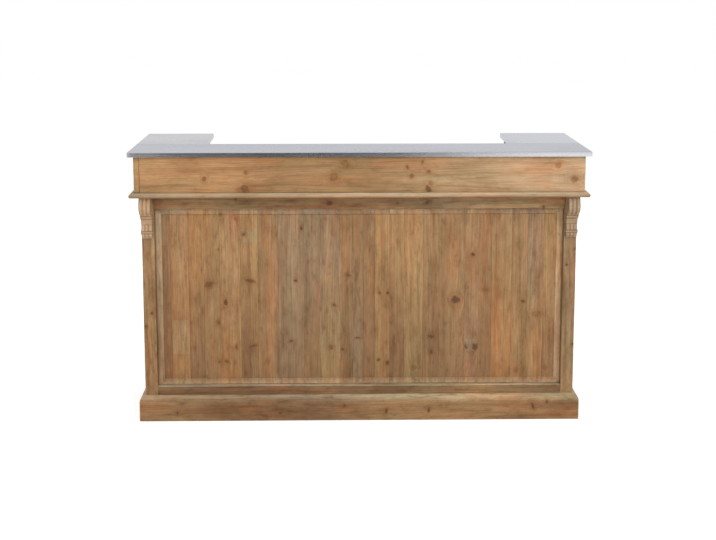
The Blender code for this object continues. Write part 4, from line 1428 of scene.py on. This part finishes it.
@dataclass
class Corbels:
    """The carved brackets at the heads of the front posts.

    Each level is a slice whose reach follows a smooth curve through the named points. The
    front is cut into reeds by 1 - |sin|^0.75 of the way across, over bands given by two
    drops and a depth. Necks narrow the slices between two drops. A bead or groove is a bell
    exp(-((drop - middle) / width)^2) times a height, and a fillet a plain step.
    """

    shop: Workshop
    drops: tuple[float, ...] = (0.0, 0.018, 0.040, 0.060, 0.077, 0.098, 0.120, 0.142, 0.160, 0.172)
    reaches: tuple[float, ...] = (
        0.064, 0.076, 0.082, 0.070, 0.046, 0.028, 0.022, 0.026, 0.023, 0.010
    )
    reeds: int = 3
    reed_depth: float = 0.0042
    reeded: Rows = ((0.004, 0.075, 1.0), (0.117, 0.139, 0.8), (0.152, 0.170, 0.9))
    waist: float = 0.0016
    necks: Rows = ((0.091, 0.140, 0.004), (0.152, 0.172))
    beads: Rows = (
        (0.079, 0.0022, -0.0035), (0.092, 0.0015, -0.0030), (0.115, 0.0015, -0.0022),
        (0.1405, 0.0013, -0.0030), (0.1455, 0.0032, 0.0024), (0.151, 0.0013, -0.0030),
    )
    fillet: Triple = (0.083, 0.090, 0.0012)
    arris_width: float = 0.07
    arris_depth: float = 0.0022
    least_stand: float = 0.002
    ridge_power: float = 0.75
    hollow_power: float = 1.3
    ridge_wear: float = 0.6
    least_reed: float = 0.001
    # How deep a groove is where it is darkened fully.
    dark_groove: float = 0.003
    first_side: float = 0.08
    levels: int = 132
    columns: int = 46
    side_columns: int = 8
    darkening: Triple = (0.62, 0.54, 0.46)

    def curve(self, drop: Array) -> Array:
        """Gives the reach at each drop: a smooth cubic through the named points.

        Each span is a Hermite cubic whose slope at a point is that of the line between
        its two neighbours.

        Args:
            drop: Distances below the top of the bracket.

        Returns:
            How far in front of the post the bracket stands.
        """
        x, y = np.array(self.drops), np.array(self.reaches)
        slope = np.gradient(y, x)
        place = np.clip(np.searchsorted(x, drop, side="right") - 1, 0, len(x) - 2)
        width = x[place + 1] - x[place]
        t = (drop - x[place]) / width
        return (
            (2 * t**3 - 3 * t**2 + 1) * y[place] + (t**3 - 2 * t**2 + t) * width * slope[place]
            + (3 * t**2 - 2 * t**3) * y[place + 1] + (t**3 - t**2) * width * slope[place + 1]
        )

    def shape(self, node: str) -> tuple[Array, Array, Array]:
        """Works out the slices of one bracket.

        Args:
            node: The solid whose box it fills.

        Returns:
            The points of each slice, anticlockwise from above, how worn they are, and how
            deep they lie in a groove.
        """
        low, high = span(node)
        total = high[2] - low[2]
        drop = np.linspace(0, total, self.levels)
        back, middle = high[1] - SKIN, (high[0] + low[0]) / 2
        reach = np.minimum(self.curve(np.minimum(drop, self.drops[-1])), back - low[1] - SKIN)
        depth = self.reed_depth * sum(part * between(drop, *ends) for *ends, part in self.reeded)
        band = self.fillet[2] * between(drop, *self.fillet[:2])
        for place, wide, height in self.beads:
            band = band + height * np.exp(-(((drop - place) / wide) ** 2))
        narrow = self.waist * sum(between(drop, *neck) for neck in self.necks)
        across = -np.cos(np.linspace(0, np.pi, self.columns))
        ridge = np.abs(np.sin(np.pi * ((across + 1) / 2 * self.reeds)))
        scallop = 1 - ridge**self.ridge_power
        arris = np.clip((np.abs(across) - 1 + self.arris_width) / self.arris_width, 0, 1) ** 2
        x = middle + across * ((high[0] - low[0]) / 2 - SKIN - narrow)[:, None]
        stand = (reach + band)[:, None] - depth[:, None] * scallop - arris * self.arris_depth
        y = back - np.maximum(stand, self.least_stand)
        side = np.array([0, *np.linspace(self.first_side, 1, self.side_columns)[:-1]])
        sides = np.ones((1, self.side_columns))
        xs = np.concatenate([x[:, :1] * sides, x, x[:, -1:] * sides], axis=1)
        ys = np.concatenate([
            back + (y[:, :1] - back) * side, y, back + (y[:, -1:] - back) * side[::-1]
        ], axis=1)
        zs = np.broadcast_to((high[2] - SKIN - drop * (1 - 2 * SKIN / total))[:, None], xs.shape)
        front = slice(self.side_columns, self.side_columns + self.columns)
        worn, hollow = np.zeros_like(xs), np.zeros_like(xs)
        worn[:, [front.start, front.stop - 1]] = 1.0
        worn[:, front] += self.ridge_wear * ridge**2 * (depth[:, None] > self.least_reed)
        hollow[:, front] = scallop**self.hollow_power * depth[:, None] / self.reed_depth
        hollow += np.clip(-band / self.dark_groove, 0, 1)[:, None]
        return np.stack([xs, ys, zs], axis=-1), np.clip(worn, 0, 1), np.clip(hollow, 0, 1)

    def build(self) -> None:
        """Makes both brackets."""
        for side, tone in (("left", Tone.PALE), ("right", Tone.ASH)):
            node = f"{side}_corbel"
            points, worn, hollow = self.shape(node)
            rows, columns = points.shape[:2]
            last = (rows - 1) * columns
            caps = [list(range(columns)), list(range(last, last + columns))[::-1]]
            points, wood = points.reshape(-1, 3), Wood(Way.UP, Way.FRONT, plain(tone))
            fields = wood.fields(points, worn.reshape(-1), seeded(node))
            # Darkens the hollows of the reeds and the grooves.
            fields["tone"] *= 1 + hollow.reshape(-1, 1) * (np.array(self.darkening) - 1)
            self.shop.put(
                f"{node}_carving", points, grid_faces(rows, columns)[:, ::-1], caps,
                Slot.CARVED, "counter", (node,), fields, wood,
            )


@dataclass
class ZincTop:
    """The board core and the three zinc sheets folded over it.

    A sheet is a flat grid. Its outer rows pass an edge line, turn down over a quarter
    circle and hang as a flange: past the line by m, a point goes out by r sin(m / r) and
    down by r (1 - cos(m / r)), and past the quarter circle straight down. At a corner the
    same is done outwards along the diagonal, which rounds it. A second layer lies one
    thickness inside, and the rims are joined.
    """

    shop: Workshop
    bend: float = 0.0028
    thickness: float = 0.0007
    step: float = 0.014
    fold: tuple[float, ...] = (0.25, 0.5, 0.75, 1.0, 1.5, 2.0)
    swell: float = 0.0004
    swell_waves: Triple = (0.5, 0.35, 1.0)
    calm: float = 0.08
    core_inset: float = 0.0013

    def row(
        self, start: float, end: float, folds: tuple[bool, bool], hem: float
    ) -> tuple[Array, Array]:
        """Gives the flat places in one direction, and the share of the fold past each end.

        Args:
            start: The first place, on the outside of the sheet.
            end: The last one.
            folds: Whether the sheet turns down at the start and at the end.
            hem: A place on either side of the middle where a fold ends.

        Returns:
            The places and the shares, which are negative before the start.
        """
        fold = np.array(self.fold)
        a, b = start + (self.bend if folds[0] else SKIN), end - (self.bend if folds[1] else SKIN)
        flat = spaced(a, b, self.step, (-hem - MARK, -hem, hem, hem + MARK))
        before, after = -fold[::-1] * folds[0], fold * folds[1]
        before, after = before[before != 0], after[after != 0]
        places = [np.full(len(before), a), flat, np.full(len(after), b)]
        return np.concatenate(places), np.concatenate([before, np.zeros(len(flat)), after])

    def layer(
        self, box: tuple[Array, Array], folds: tuple[bool, ...], inset: float, hem: float
    ) -> Array:
        """Works out one layer of a folded sheet.

        Args:
            box: The lowest and the highest corner of the sheet's box.
            folds: Whether it turns down on the left, the right, the front and the rear.
            inset: How far the layer lies inside the outer one.
            hem: How far from the middle the rear fold ends, past which the rear lies flat.

        Returns:
            The points as a grid.
        """
        low, high = box
        radius = self.bend - inset
        flange = high[2] - low[2] - self.bend - SKIN
        px, sx = self.row(low[0] + SKIN, high[0] - SKIN, folds[:2], hem)
        py, sy = self.row(low[1] + SKIN, high[1] - SKIN, folds[2:], hem)
        x, y = np.meshgrid(px, py, indexing="ij")
        u, v = np.meshgrid(sx, sy, indexing="ij")
        flat = (np.abs(x) > hem + MARK / 2) & (v > 0)
        y = y + np.where(flat, self.bend * v / self.fold[-1], 0)
        v = np.where(flat, 0, v)
        amount = np.maximum(np.abs(u), np.abs(v))
        length = np.maximum(np.hypot(u, v), 1e-9)
        angle = np.clip(amount, 0, 1) * np.pi / 2
        out = radius * np.sin(angle)
        down = inset + radius * (1 - np.cos(angle)) + np.clip(amount - 1, 0, 1) * flange
        return np.stack([x + out * u / length, y + out * v / length, high[2] - SKIN - down], -1)

    def sheet(
        self, node: str, folds: tuple[bool, ...], tone: Array, hem: float = math.inf
    ) -> None:
        """Makes a folded sheet with both of its faces.

        Args:
            node: The solid it stands for.
            folds: Whether it turns down on the left, the right, the front and the rear.
            tone: Its colour in linear light.
            hem: How far from the middle its rear fold ends.
        """
        low, high = box = span(node)
        outer, inner = (self.layer(box, folds, inset, hem) for inset in (0.0, self.thickness))
        rows, columns = outer.shape[:2]
        edge = np.minimum(outer[..., :2] - low[:2], high[:2] - outer[..., :2]).min(axis=-1)
        calm = np.clip((edge - self.bend) / self.calm, 0, 1) ** 2
        swell = ripple(outer, seeded(node), self.swell_waves) * calm * self.swell
        outer[..., 2] -= swell
        inner[..., 2] -= swell
        total = rows * columns
        top = grid_faces(rows, columns, closed=False)
        number = np.arange(total).reshape(rows, columns)
        rim = [number[:, 0], number[-1, 1:], number[-2::-1, -1], number[0, -2:0:-1]]
        rim = np.concatenate(rim)
        after = np.roll(rim, -1)
        band = np.stack([after, rim, rim + total, after + total], axis=1)
        points = np.concatenate([outer.reshape(-1, 3), inner.reshape(-1, 3)])
        self.shop.put(
            f"{node}_fold", points, np.concatenate([top[:, ::-1], top + total, band]), [],
            Slot.ZINC, "counter", (node,), {"tone": np.tile(tone, (len(points), 1))},
        )

    def core(self) -> None:
        """Makes the three boards under the zinc."""
        low, high = span("top_core")
        arm = span("zinc_right_arm_sheet")[0][0] + self.core_inset
        rear = span("zinc_bar_sheet")[1][1] - self.core_inset
        for name, start, end, run, nodes in (
            ("bar", low, (high[0], rear, high[2]), Way.RIGHT, ("top_core",)),
            ("left_arm", (-high[0], rear + GAP, low[2]), (-arm, *high[1:]), Way.REAR, ()),
            ("right_arm", (arm, rear + GAP, low[2]), high, Way.REAR, ()),
        ):
            Timber(
                self.shop, f"{name}_core_board", np.array(start), np.array(end),
                Wood(run, Way.UP, plain(Tone.TAN)), Slot.CORE, nodes, ease=0.0008, step=0.02,
                knot_every=0.5,
            ).build()

    def build(self) -> None:
        """Makes the core and the sheets. The bar's rear edge is hemmed between the arms."""
        self.core()
        arm = span("zinc_right_arm_sheet")[0][0]
        self.sheet("zinc_bar_sheet", (True,) * 4, linear(190, 190, 193), arm - GAP)
        self.sheet("zinc_left_arm_sheet", (True, True, False, True), linear(207, 205, 202))
        self.sheet("zinc_right_arm_sheet", (True, True, False, True), linear(206, 208, 212))


@dataclass
class Cabinet:
    """The bartender's side: boards, shelves, worktop and the rail under the bar."""

    shop: Workshop
    nose: float = 0.006
    knot_every: float = 0.35
    shelves: tuple[str, ...] = (
        "bottom_board", "left_wing_shelf", "right_wing_shelf", "left_bay_shelf",
        "right_bay_shelf", "left_drawer_deck", "right_drawer_deck",
    )

    def build(self) -> None:
        """Makes the boards, each between the faces it stands or lies between."""
        for node, run, looks, tone, more in (
            ("partition", Way.UP, Way.RIGHT, Tone.TAN, {}),
            ("left_wing_panel", Way.UP, Way.LEFT, Tone.TAN, {}),
            ("right_wing_panel", Way.UP, Way.RIGHT, Tone.TAN, {}),
            *((shelf, Way.RIGHT, Way.UP, Tone.TAN, {}) for shelf in self.shelves),
            ("worktop", Way.RIGHT, Way.UP, Tone.HONEY, {"ease": self.nose}),
            ("rear_kick_board", Way.RIGHT, Way.REAR, Tone.BROWN, {}),
            ("bar_rear_rail", Way.RIGHT, Way.REAR, Tone.HONEY, {}),
        ):
            self.shop.board(
                node, Wood(run, looks, plain(tone)), Slot.INSIDE, knot_every=self.knot_every,
                step=0.030, **more,
            )


@dataclass
class Drawer:
    """A drawer with its front, sides, back, bottom and two turned knobs.

    A knob is a profile turned about a line out of the front: each point of the profile is
    carried round a circle of its radius, and both ends close on a point. The neck's rows
    are shares of the radius and of the reach. The crown's are a share of the radius and
    a depth, and the round of the head lies between the two.
    """

    shop: Workshop
    side: str
    knot_every: float = 0.35
    knob_steps: int = 40
    head_round: float = 0.0062
    head_drop: float = 0.0065
    head_power: float = 0.8
    head_rows: int = 15
    crown: Rows = ((0.30, 0.0001), (0.55, 0.0003))
    neck: Rows = (
        (0.55, 0.50), (0.47, 0.40), (0.46, 0.28), (0.52, 0.19), (0.62, 0.15), (0.65, 0.10)
    )
    foot: float = 0.64

    def build(self) -> None:
        """Makes the boards and the knobs."""
        body = f"{self.side}_drawer"
        inner = {
            (0, 0): span(f"{body}_left_side")[1][0] + GAP,
            (1, 0): span(f"{body}_right_side")[0][0] - GAP,
        }
        for part, run, looks, tone, ends, ease in (
            ("front", Way.RIGHT, Way.REAR, Tone.HONEY, {}, 0.0014),
            ("left_side", Way.REAR, Way.LEFT, Tone.PALE, {}, 0.0014),
            ("right_side", Way.REAR, Way.RIGHT, Tone.PALE, {}, 0.0014),
            ("back", Way.RIGHT, Way.FRONT, Tone.PALE, {}, 0.0014),
            ("bottom", Way.RIGHT, Way.UP, Tone.SAND, inner, 0.0010),
        ):
            self.shop.board(
                f"{body}_{part}", Wood(run, looks, plain(tone)), Slot.INSIDE, ends, body=body,
                ease=ease, knot_every=self.knot_every,
            )
        for word in SIDES:
            self.knob(f"{body}_{word}_knob", body)

    def knob(self, node: str, body: str) -> None:
        """Turns one knob.

        Args:
            node: The solid it stands for.
            body: The body it rides on.
        """
        low, high = span(node)
        face = span(f"{body}_front")[1][1]
        centre, radius = (low + high) / 2, (high[0] - low[0]) / 2 - SKIN
        reach = high[1] - face - SKIN
        head = np.linspace(0, np.pi, self.head_rows)[1:-1]
        profile = np.concatenate([
            np.array(self.crown) * [radius, -1] + [0, reach],
            np.stack([
                radius - self.head_round + self.head_round * np.sin(head) ** self.head_power,
                reach - self.head_drop + self.head_drop * np.cos(head),
            ], axis=1),
            np.array(self.neck) * [radius, reach],
            [[radius * self.foot, 2 * GAP]],
        ])
        turn = np.linspace(0, 2 * np.pi, self.knob_steps, endpoint=False)
        x = centre[0] + profile[:, :1] * np.cos(turn)
        z = centre[2] + profile[:, :1] * np.sin(turn)
        y = np.repeat(face + profile[:, 1:], self.knob_steps, axis=1)
        tips = [[centre[0], face + reach, centre[2]], [centre[0], face + 2 * GAP, centre[2]]]
        points = np.concatenate([np.stack([x, y, z], axis=-1).reshape(-1, 3), tips])
        number = np.arange(self.knob_steps)
        after, last = np.roll(number, -1), x.size - self.knob_steps
        tip = np.full_like(number, x.size)
        caps = np.stack([[tip, after, number], [tip + 1, last + number, last + after]])
        wood = Wood(Way.REAR, Way.UP, plain(Tone.BROWN))
        fields = wood.fields(points, np.zeros(len(points)), seeded(node))
        self.shop.put(
            f"{node}_turning", points, grid_faces(len(profile), self.knob_steps),
            np.moveaxis(caps, 1, 2).reshape(-1, 3).tolist(), Slot.KNOB, body, (node,), fields,
            wood,
        )


# The studio


@dataclass(frozen=True)
class Lamp:
    """A soft lamp that mirrors don't show, so that the zinc never clips."""

    name: str
    place: Triple
    aim: Triple
    size: tuple[float, float]
    power: float

    def build(self) -> None:
        """Hangs the lamp in its place, facing its aim."""
        light = bpy.data.lights.new(self.name, "AREA")
        light.shape, light.energy = "RECTANGLE", self.power
        light.size, light.size_y = self.size
        lamp = bpy.data.objects.new(self.name, light)
        lamp.visible_glossy = False
        x, y, z = np.array(self.aim) - self.place
        lamp.location = self.place
        lamp.rotation_euler = (math.atan2(math.hypot(x, y), -z), 0, math.atan2(-x, y))
        bpy.context.scene.collection.objects.link(lamp)


@dataclass
class Studio:
    """A white floor, soft lamps, two cards for the metal to mirror, and the camera."""

    eye: Triple = (-0.1059, -5.597, 1.7577)
    lens: float = 69.12
    down: float = math.radians(9.03)
    aside: float = math.radians(1.06)
    lift_px: float = 72.0
    far: float = 200.0
    floor_size: float = 60.0
    floor_drop: float = 0.0005
    floor_glow: float = 0.54
    ambient: float = 0.50
    card_y: float = -3.5
    cloth: Triple = (-1.45, 0.60, 1.75)
    card: Triple = (0.95, 2.6, 1.35)
    card_glow: float = 1.60
    lamps: tuple[Lamp, ...] = (
        Lamp("key", (1.8, -4.6, 2.9), (0, -0.2, 0.6), (2.4, 1.6), 115.0),
        Lamp("fill", (-2.4, -5.2, 0.9), (0, -0.2, 0.6), (3.0, 1.2), 56.0),
        Lamp("sky", (0.2, -2.6, 4.2), (0, -0.3, 0.5), (3.0, 2.0), 18.0),
        Lamp("rear", (-1.5, 4.8, 2.6), (0, 0.2, 0.5), (3.0, 2.0), 60.0),
    )

    def camera(self) -> None:
        """Places the camera at the photograph's point of view."""
        lens = bpy.data.cameras.new("camera")
        lens.lens, lens.sensor_width, lens.clip_end = self.lens, SENSOR_WIDTH, self.far
        lens.shift_y = -self.lift_px / IMAGE_WIDTH
        camera = bpy.data.objects.new("camera", lens)
        camera.location = self.eye
        camera.rotation_euler = (math.pi / 2 - self.down, 0, -self.aside)
        bpy.context.scene.collection.objects.link(camera)
        bpy.context.scene.camera = camera

    def world(self) -> None:
        """Lights the room evenly, and shows white to the eye and to mirrors."""
        graph = Graph(bpy.data.worlds.new("room"))
        strength = graph.seen() * (1 - self.ambient) + self.ambient
        shade = graph.node("Background", inputs={"Color": WHITE, "Strength": strength})
        bpy.context.scene.world = graph.end(shade, "World")

    def plane(self, name: str, corners: Rows, material: bpy.types.Material) -> bpy.types.Object:
        """Makes a flat backdrop piece.

        Args:
            name: Its name.
            corners: Its four corners.
            material: What covers it.

        Returns:
            The piece.
        """
        mesh = bpy.data.meshes.new(name)
        mesh.from_pydata(corners, [], [[0, 1, 2, 3]])
        mesh.materials.append(material)
        piece = bpy.data.objects.new(name, mesh)
        bpy.context.scene.collection.objects.link(piece)
        return piece

    def floor(self) -> None:
        """Lays the white floor, which keeps the shadows."""
        graph = Graph(bpy.data.materials.new("white_floor"))
        cloud = graph.noise(graph.node("TexCoord", output="Object"), (0.4, 0.4, 0.4))
        colour = graph.mix(cloud, (0.90, 0.90, 0.90, 1), (0.93, 0.93, 0.93, 1))
        matt = graph.principled(Base_Color=colour, Roughness=0.9, Specular_IOR_Level=0.0)
        strength = graph.seen() * self.floor_glow
        glow = graph.node("Emission", inputs={"Color": WHITE, "Strength": strength})
        both = graph.node("AddShader", inputs={0: matt, 1: glow})
        half = self.floor_size / 2
        corners = ((-half, -half), (half, -half), (half, half), (-half, half))
        flat = tuple((x, y, -self.floor_drop) for x, y in corners)
        self.plane("floor", flat, graph.end(both))

    def cards(self) -> None:
        """Stands a dark cloth and a bright card in front, which only mirrors show."""
        for name, (left, right, top), material, sockets in (
            ("cloth", self.cloth, "dark_cloth", {
                "Base_Color": (0.048, 0.050, 0.053, 1), "Roughness": 1.0,
            }),
            ("card", self.card, "bright_card", {
                "Base_Color": (0, 0, 0, 1), "Emission_Color": WHITE,
                "Emission_Strength": self.card_glow,
            }),
        ):
            graph = Graph(bpy.data.materials.new(material))
            covered = graph.end(graph.principled(Specular_IOR_Level=0.0, **sockets))
            corners = ((left, 0.0), (right, 0.0), (right, top), (left, top))
            piece = self.plane(name, tuple((x, self.card_y, z) for x, z in corners), covered)
            piece.visible_camera = piece.visible_diffuse = piece.visible_shadow = False
            piece.visible_transmission = False

    def build(self) -> None:
        """Sets up the whole studio."""
        self.floor()
        self.cards()
        self.world()
        for lamp in self.lamps:
            lamp.build()
        self.camera()
        bpy.context.scene.view_settings.view_transform = "Standard"


def main() -> None:
    """Builds the counter and its studio."""
    logging.basicConfig(level=logging.INFO, format="%(name)s: %(message)s")
    shop = Workshop({kind.slot: kind.build() for kind in FINISHES})
    for part in (
        ZincTop(shop), Fascia(shop), Mouldings(shop), Corbels(shop), Frames(shop),
        Panels(shop), Cabinet(shop), Drawer(shop, "left"), Drawer(shop, "right"),
    ):
        part.build()
        LOG.info("%s built", type(part).__name__)
    Studio().build()


if __name__ == "__main__":
    main()
